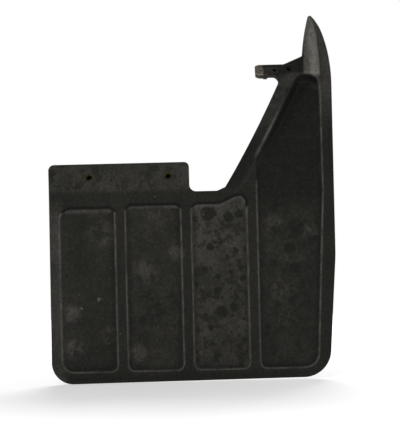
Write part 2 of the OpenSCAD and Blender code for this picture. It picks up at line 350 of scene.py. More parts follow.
class FlapRelief:
    """The front and the back face of the rubber as heights over the front view."""

    def __init__(self, sheet: SheetSizes, hood: HoodSizes) -> None:
        """Work out the guide lines that both faces share.

        Args:
            sheet: sizes of the flat sheet.
            hood: sizes of the raised part.
        """
        self.sheet, self.hood = sheet, hood
        foot, top = np.array(hood.band_foot), np.array(hood.band_top)
        self.along = (top - foot) / np.linalg.norm(top - foot)
        self.across = np.array([self.along[1], -self.along[0]])
        self.ridge_foot = foot + self.across * hood.band_wide
        self.ridge_long = (hood.pocket_top - self.ridge_foot[1]) / self.along[1]
        self.ridge_top = self.ridge_foot + self.along * self.ridge_long
        self.band_slope = (-hood.hood_edge_y - hood.band_foot_rise) / (hood.hood_edge_z - sheet.hinge_z)
        self.horn_slope = 0.2374
        self.panels = self._panels()

    def _panels(self) -> list[Points]:
        """Outlines of the three short panels and the tall one, anticlockwise."""
        s, made = self.sheet, []
        pitch = s.panel_wide + s.rib
        first = s.left + s.border
        for i in range(3):
            left, right = first + i * pitch, first + i * pitch + s.panel_wide
            outer = s.outer_corner if i == 0 else s.panel_corner
            high = s.panel_high - (2.5 if i == 0 else 0)
            corners = [(left, high, outer), (left, s.panel_low, outer),
                       (right, s.panel_low, s.panel_corner)]
            if i < 2:
                corners.append((right, high, s.panel_corner))
            else:
                # The third panel's top swells up towards the foot of the band
                rise = [(x, high + s.hump_rise * float(smooth(right - 36, right - 8, x)))
                        for x in np.linspace(right - 10, right - 36, 10)]
                corners += [(right, high + 3, 5), (right - 5, high + s.hump_rise, 4)] + rise
            made.append(divide(fillet(corners), 2.0))
        left = first + 3 * pitch
        cross_z = self.ridge_foot[1] + (left - self.ridge_foot[0]) * self.along[1] / self.along[0]
        rim = s.right - s.border
        ridge = self.ridge_line(1.0, 24)
        ridge = ridge[ridge[:, 1] > cross_z + 3]
        tall = [(left, cross_z, 5.0), (left, s.panel_low, s.panel_corner),
                (rim - s.bottom_taper, s.panel_low, 17.0), (rim, s.hinge_z, 60.0),
                (rim - 1, self.hood.pocket_top + 2)]
        tall += [tuple(p) for p in ridge[::-1]]
        made.append(divide(fillet(tall), 2.0))
        return made

    def ridge_line(self, offset: float, steps: int) -> Points:
        """Points along the band's ridge, moved to its right by offset."""
        line = bow(self.ridge_foot, self.ridge_top, self.hood.band_bow, steps)
        return line + self.across * offset

    def past_ridge(self, p: Points) -> Points:
        """Distance of points to the right of the bowed ridge.

        Args:
            p: places in the front view.

        Returns:
            Distances, negative on the band's side.
        """
        rel = p - self.ridge_foot
        t = (rel @ self.along) / self.ridge_long
        return rel @ self.across - 4 * self.hood.band_bow * np.clip(t, 0, 1) * (1 - np.clip(t, 0, 1))

    def horn_edge(self, z: Points) -> Points:
        """The horn's right edge, which curves in towards the tip."""
        h = np.clip((z - self.hood.pocket_top) / 80, 0, 0.995)
        return self.hood.rim_x - 12 * (1 - np.sqrt(1 - h * h)) + 0 * z

    def mouth(self, p: Points) -> Points:
        """How far points lie inside the pocket's arched mouth.

        Args:
            p: places in the front view.

        Returns:
            Depths, negative outside it.
        """
        h = self.hood
        u = np.abs(p[:, 0] - h.mouth_x) / h.mouth_wide
        v = np.maximum(p[:, 1] - h.mouth_z, 0) / h.mouth_high
        return (1 - (u ** h.mouth_power + v ** h.mouth_power) ** (1 / h.mouth_power)) * h.mouth_wide

    def shelf_y(self, z: Points) -> Points:
        """The tilted shelf's front face."""
        return -(self.hood.hood_top - z) * math.tan(self.hood.tilt)

    def band_y(self, z: Points) -> Points:
        """The raised band's front face, which fades out below the flex line.

        Args:
            z: heights.

        Returns:
            Y at each height.
        """
        h = self.hood
        rise = h.band_foot_rise + self.band_slope * (z - self.sheet.hinge_z)
        return -np.maximum(rise, 0.4) * smooth(-30, -12, z)

    def lug_share(self, p: Points) -> Points:
        """1 on the lug, where the shelf's plane runs on past the hood's edge, and 0 off it."""
        return smooth(183, 176, p[:, 0]) * smooth(105, 112, p[:, 1])

    def sway(self, p: Points) -> Points:
        """The slight set that a rubber sheet takes, away from its hardware.

        Args:
            p: places in the front view.

        Returns:
            The shift in Y at each place.
        """
        x, z = p[:, 0], p[:, 1]
        wave = np.sin(x / 47 + 0.6) * np.cos(z / 61) + 0.5 * np.sin((x + z) / 83)
        return 0.35 * wave * smooth(-34, -80, z)

    def base(self, p: Points) -> Points:
        """The sheet's front face with its four pressed panels.

        Args:
            p: places in the front view.

        Returns:
            Y at each place.
        """
        made = np.zeros(len(p))
        for loop in self.panels:
            low, high = loop.min(axis=0) - 3, loop.max(axis=0) + 3
            near = np.all((p > low) & (p < high), axis=1)
            if near.any():
                deep = depth_inside(p[near], loop)
                # A small roll stands up round the step, as the mould's parting leaves it
                roll = 0.22 * np.exp(-((deep + 0.9) / 0.7) ** 2)
                made[near] += self.sheet.panel_deep * smooth(-0.5, 1.7, deep) - roll
        return made

    def raised(self, p: Points) -> Points:
        """The front face of the band, the hood and the horn together, as if they had no sides.

        Args:
            p: places in the front view.

        Returns:
            Y at each place.
        """
        h, x, z = self.hood, p[:, 0], p[:, 1]
        shelf = self.shelf_y(z)
        lip = self.lug_share(p)
        near = soft_max(shelf, self.band_y(z), 1.6)
        hood = near * (1 - lip) + shelf * lip
        horn = -(1 + self.horn_slope * (self.sheet.top - z))
        horn = np.where(z > 118, horn, -(1 + self.horn_slope * 70) * smooth(97, 120, z))
        # The horn's face is crowned: it falls away towards both of its sides
        middle = (x - h.horn_left) / np.maximum(self.horn_edge(z) - h.horn_left, 6.0)
        middle = np.clip(middle, -0.1, 1.1)
        horn = horn + 1.5 * (2 * middle - 1) ** 2 * smooth(118, 130, z)
        return hood + (horn - hood) * smooth(h.horn_left - 1.6, h.horn_left + 0.8, x)

    def front(self, p: Points) -> Points:
        """Heights of the front face.

        Args:
            p: places in the front view.

        Returns:
            Y at each place.
        """
        h, z = self.hood, p[:, 1]
        base, raised = self.base(p), self.raised(p)
        d = self.past_ridge(p)
        ramp = (d + np.sqrt(d * d + 1.1)) / 2
        wide = 4 + (h.flank - 4) * smooth(-20, 20, z)
        band = np.clip(1 - ramp / wide, 0, 1) ** 1.7
        left_of_band = (p - np.array(h.band_foot)) @ self.across
        band = band * np.maximum(smooth(-4, 0, left_of_band), smooth(104, 108, z)) * smooth(-28, -18, z)
        # The crest of the band carries a low bead
        bead = 0.5 * np.exp(-((d + 1.4) / 1.1) ** 2) * smooth(-14, 10, z) * smooth(116, 96, z)
        deep = self.mouth(p)
        ramp = (deep + np.sqrt(deep * deep + 1.2)) / 2
        hood = np.clip(1 - ramp / 9.5, 0, 1) ** 1.5
        out = p[:, 0] - self.horn_edge(z)
        ramp = (out + np.sqrt(out * out + 0.9)) / 2
        hood = hood * np.clip(1 - ramp / 2.6, 0, 1) ** 1.4 * smooth(96, 104, z)
        over = np.maximum(hood, 0) * (p[:, 0] > self.ridge_top[0] - 14)
        y = soft_min(base + (raised - base) * band, base + (raised - base) * over, 0.9)
        return y - bead + self.sway(p)

    def back(self, p: Points) -> Points:
        """Heights of the back face, which is open behind the band and the hood.

        Args:
            p: places in the front view.

        Returns:
            Y at each place.
        """
        h, x, z = self.hood, p[:, 0], p[:, 1]
        t = self.sheet.thick
        shelf = self.shelf_y(z) + t / math.cos(h.tilt)
        drop = 2.46 - 2 * (z - h.pocket_top - 4.92)
        under_band = self.band_y(z) + t * math.hypot(1, self.band_slope)
        d = self.past_ridge(p)
        lip = self.lug_share(p)
        left = soft_max(shelf, under_band, 1.0) * (1 - lip) + shelf * lip
        right = soft_max(shelf, drop, 1.0)
        hollow = left + (right - left) * smooth(-7, -4, d)
        up = (p - np.array(h.band_foot)) @ self.along
        room = np.maximum(-t - d, np.minimum(z - h.pocket_top - 1, h.horn_left - x))
        room = np.minimum(room, up - 8)
        flat = t + 0 * x
        return np.minimum(flat, flat + (hollow - flat) * smooth(0, 1.8, room)) + self.sway(p)

    def lean(self, p: Points) -> Points:
        """How far the back is shifted down at each place, so that the lug's sides stay square to it.

        Args:
            p: places in the front view.

        Returns:
            The shift at each place.
        """
        x, z = p[:, 0], p[:, 1]
        share = smooth(192, 185, x) * smooth(106, 114, z)
        hx, hs, _ = self.hood.lug_hole
        gap = np.hypot(x - hx, (z - self.hood.on_shelf(hs)) * 1.3)
        share = np.maximum(share, smooth(24, 7, gap))
        return share * self.sheet.thick * math.sin(self.hood.tilt)


# ---------------------------------------------------------------- meshes

class MeshBook:
    """Collects points and faces in millimetres and makes one mesh object of them."""

    def __init__(self) -> None:
        """Start with no points and no faces."""
        self.points: list[Points] = []
        self.faces: list[tuple[int, ...]] = []
        self.marks: dict[str, list[Points]] = {}
        self.count = 0

    def add(self, points: Points, **marks: Points) -> Points:
        """Add points.

        Args:
            points: one (x, y, z) row each.
            marks: values kept with the points, one per point, by name.

        Returns:
            The new points' numbers.
        """
        first = self.count
        self.points.append(np.asarray(points, float))
        for name in set(self.marks) | set(marks):
            rows = self.marks.setdefault(name, [np.zeros(first)] if first else [])
            rows.append(np.asarray(marks.get(name, np.zeros(len(points))), float))
        self.count += len(points)
        return np.arange(first, self.count)

    def strip(self, a: Points, b: Points, closed: bool = True) -> None:
        """Join two equal rows of points with a band of four-sided faces.

        Args:
            a: the first row's point numbers.
            b: the second row's.
            closed: whether the rows close into rings.
        """
        count = len(a)
        for i in range(count if closed else count - 1):
            j = (i + 1) % count
            self.faces.append((int(a[i]), int(a[j]), int(b[j]), int(b[i])))

    def fan(self, rim: Points, tip: int, closed: bool = True) -> None:
        """Join a row of points to one point with three-sided faces.

        Args:
            rim: the row's point numbers.
            tip: the point's number.
            closed: whether the row closes into a ring.
        """
        count = len(rim)
        for i in range(count if closed else count - 1):
            self.faces.append((int(rim[i]), int(rim[(i + 1) % count]), int(tip)))

    def build(self, name: str, turn: bool = False) -> bpy.types.Object:
        """Make the mesh object in metres, smooth shaded, with its faces turned outward.

        Args:
            name: the piece's name.
            turn: whether the outward side has to be worked out from the faces themselves.

        Returns:
            The new object, linked to the scene.
        """
        mesh = bpy.data.meshes.new(name)
        mesh.from_pydata((np.concatenate(self.points) * MM).tolist(), [], self.faces)
        for mark, rows in self.marks.items():
            layer = mesh.attributes.new(mark, "FLOAT", "POINT")
            layer.data.foreach_set("value", np.concatenate(rows).astype(np.float32))
        work = bmesh.new()
        work.from_mesh(mesh)
        if turn:
            bmesh.ops.recalc_face_normals(work, faces=work.faces)
        open_edges = sum(1 for edge in work.edges if not edge.is_manifold)
        work.to_mesh(mesh)
        work.free()
        mesh.shade_smooth()
        made = bpy.data.objects.new(name, mesh)
        bpy.context.scene.collection.objects.link(made)
        LOG.info("%s: %d points, %d faces, %d open edges", name, self.count, len(self.faces), open_edges)
        return made


def hex_points(low: Points, high: Points, step: float) -> Points:
    """Points of an even triangular lattice over a rectangle.

    Args:
        low: the rectangle's lower corner.
        high: its upper corner.
        step: distance between points.

    Returns:
        The points, row by row.
    """
    rows = np.arange(low[1], high[1], step * math.sqrt(0.75))
    made = [np.stack([np.arange(low[0], high[0], step) + (i % 2) * step / 2, np.full(
        len(np.arange(low[0], high[0], step)), z)], axis=1) for i, z in enumerate(rows)]
    return np.concatenate(made)


def spaced(kept: list[Points], more: Points, gap: float) -> Points:
    """Keep only the points that are clear of those already kept.

    Args:
        kept: rows of points that stay as they are.
        more: points to choose from.
        gap: least distance that is allowed.

    Returns:
        The chosen points.
    """
    rows = np.concatenate(kept)
    tree = kdtree.KDTree(len(rows))
    for i, row in enumerate(rows):
        tree.insert((row[0], row[1], 0), i)
    tree.balance()
    clear = [tree.find((row[0], row[1], 0))[2] > gap for row in more]
    return more[np.array(clear, bool)]


def fill(outer: Points, holes: list[Points], rows: list[tuple[Points, float]]) -> tuple[Points, Points]:
    """Fill an outline with triangles that keep to its edges and to rows of points inside it.

    Args:
        outer: the outline.
        holes: outlines of the holes in it.
        rows: sets of inner points with the distance that each keeps from what is there already.

    Returns:
        All points, the outline's first and then the holes', and the triangles.
    """
    kept = [outer] + list(holes)
    room = 0.3
    for points, gap in rows:
        low, high = outer.min(axis=0), outer.max(axis=0)
        points = points[np.all((points > low) & (points < high), axis=1)]
        points = points[depth_inside(points, outer) > gap * 0.7]
        for hole in holes:
            points = points[depth_inside(points, hole) < -gap * 0.7]
        if len(points):
            kept.append(spaced(kept, points, max(gap, room)))
    every = np.concatenate(kept)
    edges, first = [], 0
    for loop in [outer] + list(holes):
        count = len(loop)
        edges += [(first + i, first + (i + 1) % count) for i in range(count)]
        first += count
    # Points far outside keep slivers from forming along the outline's straight sides
    far = circle(*outer.mean(axis=0), 2000.0, 16)
    spots = [Vector(p) for p in np.concatenate([every, far])]
    found = geometry.delaunay_2d_cdt(spots, edges, [], 0, 1e-6, True)
    back = [origins[0] for origins in found[3]]
    triangles = np.array([[back[i] for i in face] for face in found[2]])
    triangles = triangles[(triangles < len(every)).all(axis=1)]
    middle = every[triangles].mean(axis=1)
    keep = inside(middle, outer)
    for hole in holes:
        keep &= ~inside(middle, hole)
    return every, triangles[keep]


# ---------------------------------------------------------------- the rubber moulding

class RubberFlap:
    """The rubber moulding: one continuous sheet with its flange, panels, band, hood, horn and lug."""

    FINE = 1.35
    COARSE = 5.5

    def __init__(self, sheet: SheetSizes, hood: HoodSizes) -> None:
        """Keep the sizes and work out the relief.

        Args:
            sheet: sizes of the flat sheet.
            hood: sizes of the raised part.
        """
        self.sheet, self.hood = sheet, hood
        self.relief = FlapRelief(sheet, hood)
        self.book = MeshBook()

    def outline(self) -> Points:
        """The front view's outline, anticlockwise, with the lug as seen on its front face."""
        s, h = self.sheet, self.hood
        foot, top = np.array(h.band_foot), np.array(h.band_top)
        rise = (s.top - 105) * np.sin(np.linspace(0, math.pi / 2, 22))
        right = [(s.right - 38 * (1 - math.sqrt(1 - (r / 90) ** 2)), 105 + r) for r in rise]
        tip = right.pop()
        right = [p for p in right if p[1] < s.top - 3]
        back = bow(np.array([tip[0] - 3.2, s.top - 1]), np.array([h.horn_left, h.hood_top]), 1.2, 10)
        lug_high, lug_low = h.on_shelf(h.lug_start), h.on_shelf(h.lug_end)
        shelf_x = h.horn_left - (h.hood_top - lug_high) / 0.4453
        corners: list[tuple[float, ...]] = [
            (s.flange_left, s.flange_top, 7), (s.flange_left, s.hinge_z), (s.left, s.bottom, s.left_corner),
            (s.right - s.bottom_taper, s.bottom + s.bottom_rise, s.right_corner),
            (s.right, s.taper_z, 200)]
        corners += right
        corners += [(tip[0], tip[1], 1.3), (back[0][0], back[0][1], 1.3)]
        corners += [tuple(p) for p in back[1:-1]]
        corners += [(h.horn_left, h.hood_top, 2.0), (shelf_x, lug_high, 6.0), (h.lug_tip, lug_high, 3.8),
                    (h.lug_tip, lug_low, 3.0), (top[0], lug_low, 7.0)]
        corners += [tuple(p) for p in bow(top, foot, -h.band_bow, 14)]
        corners += [(s.notch_right, s.notch_z), (s.flange_right, s.notch_z, 8),
                    (s.flange_right, s.flange_top, 6)]
        return divide(fillet(corners), 2.2)

    def place(self, p: Points, back: bool, sink: float = 0.0) -> Points:
        """Turn places in the front view into points on a face.

        Args:
            p: places in the front view.
            back: whether they lie on the back face.
            sink: how far inside the rubber they lie, across the sheet.

        Returns:
            The points, in millimetres.
        """
        if not back:
            return np.stack([p[:, 0], self.relief.front(p) + sink, p[:, 1]], axis=1)
        shifted = p - np.stack([0 * p[:, 0], self.relief.lean(p)], axis=1)
        return np.stack([p[:, 0], self.relief.back(shifted) - sink, shifted[:, 1]], axis=1)

    def marks(self, p: Points) -> dict[str, Points]:
        """Worn and dusty places on the front face, with painted shade and painted highlights.

        Args:
            p: places in the front view.

        Returns:
            Values from 0 to 1 by name.
        """
        h, x, z = self.hood, p[:, 0], p[:, 1]
        r = self.relief
        deep = [depth_inside(p, loop) for loop in r.panels]
        step, upper = np.zeros(len(p)), np.zeros(len(p))
        tops = [loop[:, 1].max() - drop for loop, drop in zip(r.panels, (6, 6, 15, -99))]
        for d, top in zip(deep, tops):
            # Painted highlight together with wear along the panels' side and bottom step edges, with a fainter
            # line inside their tops
            edge = np.exp(-((d + 0.2) / 1.0) ** 2)
            part = smooth(0, 2, z - top)
            # Painted shade along each panel's top edge, where the step faces down away from the light
            upper = np.maximum(upper, np.exp(-((d + 0.2) / 1.5) ** 2) * part)
            inner = 0.5 * part * np.exp(-((d - 2.6) / 0.9) ** 2)
            step = np.maximum(step, np.maximum(edge * (1 - part), inner))
        step = step * smooth(112, 104, z) * np.maximum(smooth(-6, -14, z), smooth(200, 208, x))
        mouth = r.mouth(p)
        # Painted highlight along the edge of the pocket's arched mouth
        arch_highlight = np.exp(-((mouth + 0.3) / 1.1) ** 2) * smooth(214, 222, x) * smooth(94, 98, z)
        step = np.maximum(step, 0.8 * arch_highlight)
        # Painted shade inside the pocket under the hood
        pocket_shade = 0.95 * smooth(0, 2.5, mouth) * smooth(105, 110, z)
        # Painted shade in the creases at the foot of the panels' steps
        gutter_shade = np.zeros(len(p))
        for d in deep:
            gutter_shade = np.maximum(gutter_shade, np.exp(-((d - 2.4) / 1.0) ** 2) * smooth(-6, -14, z))
        past = r.past_ridge(p)
        # Painted highlight along the band's crest
        crest_highlight = np.exp(-((past + 1.2) / 1.6) ** 2) * smooth(14, 34, z) * smooth(86, 62, z)
        flange = smooth(-20, -14, z) * smooth(80, 74, x)
        in_band = smooth(1, -1, past) * smooth(-4, 0, (p - np.array(h.band_foot)) @ r.across)
        in_band = in_band * smooth(-24, -14, z) * smooth(124, 116, z)
        horn = smooth(h.horn_left - 1, h.horn_left + 2.5, x) * smooth(112, 121, z)
        streak = 0.44 + 0.66 * smooth(214, 225, x - (160 - z) * 0.03)
        horn = horn * smooth(1.6, -1.2, x - r.horn_edge(z)) * streak
        horn = horn * (1 - 0.25 * smooth(160, 184, z))
        rim = smooth(0, 2, x - r.horn_edge(z)) * smooth(40, 120, z)
        tip = smooth(166, 158, x) * smooth(100, 110, z)
        bloom = 0.03 + 0 * x
        low = smooth(-22, -52, z)
        for d, level in zip(deep, (0.058, 0.08, 0.15 + 0.07 * smooth(-150, -60, z), 0.008 + 0.045 * low)):
            bloom = np.where(d > 0.8, level, bloom)
        bloom = bloom + 0.115 * flange - 0.03 * in_band * smooth(70, 30, z) + horn + 0.2 * rim + 0.3 * tip
        bloom = bloom + 0.07 * in_band * smooth(30, 75, z)
        bloom = bloom + 0.1 * smooth(-78, -84, x) * smooth(-20, -40, z)
        rib = smooth(1, -1, np.max(deep, axis=0)) * smooth(-240, -230, z) * smooth(225, 215, x)
        bloom = bloom + 0.015 * rib * (1 - flange) * (1 - in_band)
        spotting = 0 * x
        wet = smooth(-130, -142, z) * smooth(-186, -172, z)
        for d, level in zip(deep, (0.2, 0.3 + 0.7 * wet, 1.0, 0.9)):
            spotting = np.where(d > 0.8, level, spotting)
        spotting = spotting * smooth(-20, -48, z) + 0.8 * flange + 0.9 * in_band * (1 - flange)
        # Painted shade in the hollow to the right of the band's ridge
        hollow = 0.85 * np.exp(-((past - 5) / 6.0) ** 2) * smooth(0, 40, z) * smooth(118, 100, z)
        # On the rubber this mask is painted shade only: top edges, gutters, the hollow and the pocket
        grime = np.maximum(np.maximum(0.95 * upper, 0.4 * gutter_shade * (step < 0.3)), hollow)
        grime = np.maximum(grime, pocket_shade)
        # The wear mask also carries painted highlights: step edges, the band's crest and the pocket's arch
        wear = np.clip(0.85 * step + 1.2 * crest_highlight, 0, 1.2)
        return {"bloom": np.maximum(bloom, 0), "wear": wear, "spotting": spotting, "grime": grime}

    def rows(self) -> list[tuple[Points, float]]:
        """Rows of points that follow the front face's creases, then the lattice that fills the rest."""
        r, h, s = self.relief, self.hood, self.sheet
        made: list[tuple[Points, float]] = []
        ridge = [r.ridge_line(off, 84) for off in (-3.4, -2.6, -1.9, -1.3, -0.7, 0, 0.7, 1.5, 2.4, 3.6)]
        made.append((np.concatenate(ridge), 0.45))
        arch = []
        for off in (-2.8, -1.8, -1.0, -0.4, 0.2, 0.9, 1.7, 2.7):
            wide, high = h.mouth_wide - off, h.mouth_high - off
            a = np.linspace(0.02, math.pi - 0.02, 44)
            power = 2 / h.mouth_power
            arch.append(np.stack([h.mouth_x + wide * np.sign(np.cos(a)) * np.abs(np.cos(a)) ** power,
                                  h.mouth_z + high * np.sin(a) ** power], axis=1))
        made.append((np.concatenate(arch), 0.5))
        z = np.arange(104, s.top - 3, 1.5)
        sides = [np.stack([r.horn_edge(z) + off, z], axis=1)
                 for off in (-1.5, -0.8, -0.2, 0.4, 1, 1.7, 2.5)]
        z = np.arange(117, h.hood_top, 1.5)
        sides += [np.stack([h.horn_left + off + 0 * z, z], axis=1) for off in (-2, -1.3, -0.6, 0.1, 0.8)]
        made.append((np.concatenate(sides), 0.5))
        rings = []
        for loop in r.panels:
            way = inward(loop)
            rings += [loop + way * off for off in (-2.2, -1.5, -0.9, -0.4, 0.1, 0.6, 1.1, 1.7, 2.5)]
        rings_all = np.concatenate(rings)
        low = (rings_all[:, 1] < 10) | (r.past_ridge(rings_all) > 12)
        made.append((rings_all[low & (rings_all[:, 1] < 100)], 0.3))
        fine = hex_points(np.array([110, -30]), np.array([248, 189]), self.FINE)
        fine = fine[((fine - np.array(h.band_foot)) @ r.across > -12)]
        d = r.past_ridge(fine)
        plain = (d > 15) & (fine[:, 1] < 92)
        made.append((fine[~plain], self.FINE * 0.6))
        lug = hex_points(np.array([150, 110]), np.array([190, 132]), 1.8)
        made.append((lug, 1.1))
        bend = hex_points(np.array([-100, -40]), np.array([250, -8]), 2.8)
        made.append((bend, 1.7))
        made.append((hex_points(np.array([-100, -250]), np.array([250, 190]), self.COARSE), 3.2))
        return made

    def build(self) -> bpy.types.Object:
        """Build the whole moulding as one closed mesh.

        Returns:
            The rubber's object.
        """
        s, h, book = self.sheet, self.hood, self.book
        outline = self.outline()
        way = inward(outline) * np.where(outline[:, 1] > s.top - 8, 0.35, 1.0)[:, None]
        squash = math.cos(h.tilt)
        bolts = [(side * s.bolt_pitch / 2, 0.0) for side in (-1, 1)]
        lug_x, lug_z, lug_r = h.lug_hole[0], h.on_shelf(h.lug_hole[1]), h.lug_hole[2]
        clip_x, clip_z, clip_r = h.clip_hole[0], h.on_shelf(h.clip_hole[1]), h.clip_hole[2]
        drills = [(x, z, s.bolt_hole, 1.0) for x, z in bolts]
        drills += [(lug_x, lug_z, lug_r, squash), (clip_x, clip_z, clip_r, squash)]

        front_rims = [circle(x, z, r + 0.6, 32, q) for x, z, r, q in drills]
        loop = outline + way * 2.2
        points, faces = fill(loop, front_rims, self.rows())
        front = book.add(self.place(points, False), **self.marks(points))
        book.faces += [tuple(int(front[i]) for i in face[::-1]) for face in faces]

        rim = front[:len(outline)]
        rims = [rim]
        for angle in (90, 60, 30, 0):
            inset, sink = 1 - math.cos(math.radians(angle)), 1 - math.sin(math.radians(angle))
            p = outline + way * s.edge_round * inset
            ring = book.add(self.place(p, False, s.edge_round * sink), **self.marks(p))
            rims.append(ring)
        for angle in (0, 30, 60, 90):
            inset, sink = 1 - math.cos(math.radians(angle)), 1 - math.sin(math.radians(angle))
            ring = book.add(self.place(outline + way * s.edge_round * inset, True, s.edge_round * sink),
                            bloom=np.full(len(outline), 0.08))
            rims.append(ring)

        plate = self.plate_recess()
        half = circle(lug_x, lug_z, lug_r, 32, squash)[:17]
        chord = np.array([[lug_x, lug_z]])
        clip_rim = circle(clip_x, clip_z, clip_r, 32, squash)
        back_holes = [plate, np.concatenate([half, chord]), clip_rim]
        back_rows = self.back_rows()
        points, faces = fill(loop, back_holes, back_rows)
        even = np.ones(len(points))
        back = book.add(self.place(points, True), bloom=0.07 * even, spotting=0.6 * even)
        book.faces += [tuple(int(back[i]) for i in face) for face in faces]
        rims.append(back[:len(outline)])
        for a, b in zip(rims, rims[1:]):
            book.strip(b, a)

        at = len(outline)
        plate_ring = back[at:at + len(plate)]
        lug_ring = back[at + len(plate):at + len(plate) + len(half) + len(chord)]
        clip_ring = back[at + len(plate) + len(half) + len(chord):][:32]
        bolt_rings = self.close_plate_recess(plate, plate_ring, bolts)
        starts = [front[len(outline) + 32 * i:len(outline) + 32 * (i + 1)] for i in range(4)]
        for (x, z, r, q), start, end in zip(drills, starts, bolt_rings + [None, clip_ring]):
            self.drill(x, z, r, q, start, end, lug_ring)
        piece = book.build("rubber_flap", True)
        return piece

    def plate_recess(self) -> Points:
        """Outline of the recess that the nut plate is bonded into, a hair larger than the plate."""
        high = np.array(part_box("nut_plate")[1]) / MM
        x, z = high[0] + 0.15, high[2] + 0.15
        return divide(fillet([(-x, -z, 3), (x, -z, 3), (x, z, 3), (-x, z, 3)]), 4.0)

    def close_plate_recess(self, plate: Points, ring: Points,
                           bolts: list[tuple[float, float]]) -> list[Points]:
        """Make the recess's walls and its floor with the two bolt holes.

        Args:
            plate: the recess's outline.
            ring: the back face's points along it.
            bolts: the two bolts' places.

        Returns:
            The floor's points round each bolt hole.
        """
        floor_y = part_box("nut_plate")[0][1] / MM - 0.05
        rims = [circle(x, z, self.sheet.bolt_hole, 32) for x, z in bolts]
        lattice = hex_points(np.array([-64, -12]), np.array([64, 12]), 4.0)
        points, faces = fill(plate, rims, [(lattice, 2.2)])
        floor = self.book.add(np.stack([points[:, 0], np.full(len(points), floor_y), points[:, 1]], axis=1))
        self.book.faces += [tuple(int(floor[i]) for i in face) for face in faces]
        self.book.strip(ring, floor[:len(plate)])
        first = len(plate)
        return [floor[first:first + 32], floor[first + 32:first + 64]]

    def drill(self, x: float, z: float, radius: float, squash: float, start: Points,
              end: Points | None, half: Points) -> None:
        """Make a hole's rounded mouth and its wall.

        Args:
            x: the hole's place across.
            z: its height.
            radius: its radius.
            squash: how much its height is foreshortened.
            start: the front face's points round it.
            end: the points that it runs out at, or None for the shelf's half-open hole.
            half: the back face's points round the half-open hole.
        """
        tilt = self.hood.tilt if squash < 1 else 0.0
        rings = [start]
        for grow, deep in ((0.2, 0.12), (0.0, 0.6), (0.0, 1.6)):
            p = circle(x, z, radius + grow, 32, squash)
            points = self.place(p, False)
            points = points + np.array([0, math.cos(tilt), -math.sin(tilt)]) * deep
            rings.append(self.book.add(points, wear=np.full(32, 0.4 if deep < 0.5 else 0.0)))
        for a, b in zip(rings, rings[1:]):
            self.book.strip(b, a)
        if end is not None:
            self.book.strip(end, rings[-1])
            return
        # The upper half comes out behind the shelf; the lower half ends blind in the hood's wall
        p = circle(x, z, radius, 32, squash)[17:]
        blind = self.place(p, False) + np.array([0, math.cos(tilt), -math.sin(tilt)]) * 5.2
        low = self.book.add(blind)
        last = np.concatenate([half[:17], low])
        self.book.strip(last, rings[-1])
        self.book.fan(np.concatenate([half[16:17], low, half[:1]]), int(half[17]), False)
        self.web(circle(x, z, radius + 0.3, 32, squash), tilt)

    def web(self, rim: Points, tilt: float) -> None:
        """Close a hole near its back with the thin web of flash that moulding leaves.

        Args:
            rim: the web's outline on the front face, a little wider than the hole.
            tilt: how far the hole leans back.
        """
        into = np.array([0, math.cos(tilt), -math.sin(tilt)])
        face = self.place(rim, False)
        rings = [self.book.add(face + into * deep) for deep in (4.4, 4.75)]
        middle = face.mean(axis=0)
        tips = [self.book.add((middle + into * deep)[None]) for deep in (4.35, 4.8)]
        self.book.strip(rings[1], rings[0])
        self.book.fan(rings[0], int(tips[0][0]))
        self.book.fan(rings[1][::-1], int(tips[1][0]))

    def back_rows(self) -> list[tuple[Points, float]]:
        """Rows of points along the hollow's wall, then the lattice that fills the back."""
        r, h, s = self.relief, self.hood, self.sheet
        made = []
        wall = [r.ridge_line(-s.thick - off, 70) for off in (-0.8, 0, 0.6, 1.2, 1.9, 2.8)]
        made.append((np.concatenate(wall), 0.5))
        z = np.arange(110, h.hood_top, 1.6)
        side = [np.stack([h.horn_left - off + 0 * z, z], axis=1) for off in (-0.8, 0, 0.6, 1.2, 1.9, 2.8)]
        made.append((np.concatenate(side), 0.5))
        fine = hex_points(np.array([112, -24]), np.array([214, 142]), 1.8)
        near = (r.past_ridge(fine) < -2) | (fine[:, 1] > 104)
        made.append((fine[near], 1.1))
        made.append((hex_points(np.array([-100, -40]), np.array([250, -8]), 2.8), 1.7))
        made.append((hex_points(np.array([-100, -250]), np.array([250, 190]), self.COARSE), 3.2))
        return made

    def dress(self, piece: bpy.types.Object) -> None:
        """Give the moulding its finish and keep its rest places in an attribute.

        Args:
            piece: the rubber's object.
        """
        places = np.empty(len(piece.data.vertices) * 3, np.float32)
        piece.data.vertices.foreach_get("co", places)
        layer = piece.data.attributes.new("rest_place", "FLOAT_VECTOR", "POINT")
        layer.data.foreach_set("vector", places / MM)
        piece.data.materials.append(MouldedRubber().make())
        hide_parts("flap_head", "flap_skirt")
        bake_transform(piece)


# ---------------------------------------------------------------- finishes

def linear(code: str) -> tuple[float, float, float, float]:
    """Turn an sRGB hex colour into the linear colour that the shaders take.

    Args:
        code: a colour such as #1c1c1a.

    Returns:
        Red, green, blue and an alpha of 1.
    """
    parts = [int(code[i:i + 2], 16) / 255 for i in (1, 3, 5)]
    made = [c / 12.92 if c <= 0.04045 else ((c + 0.055) / 1.055) ** 2.4 for c in parts]
    return (made[0], made[1], made[2], 1.0)


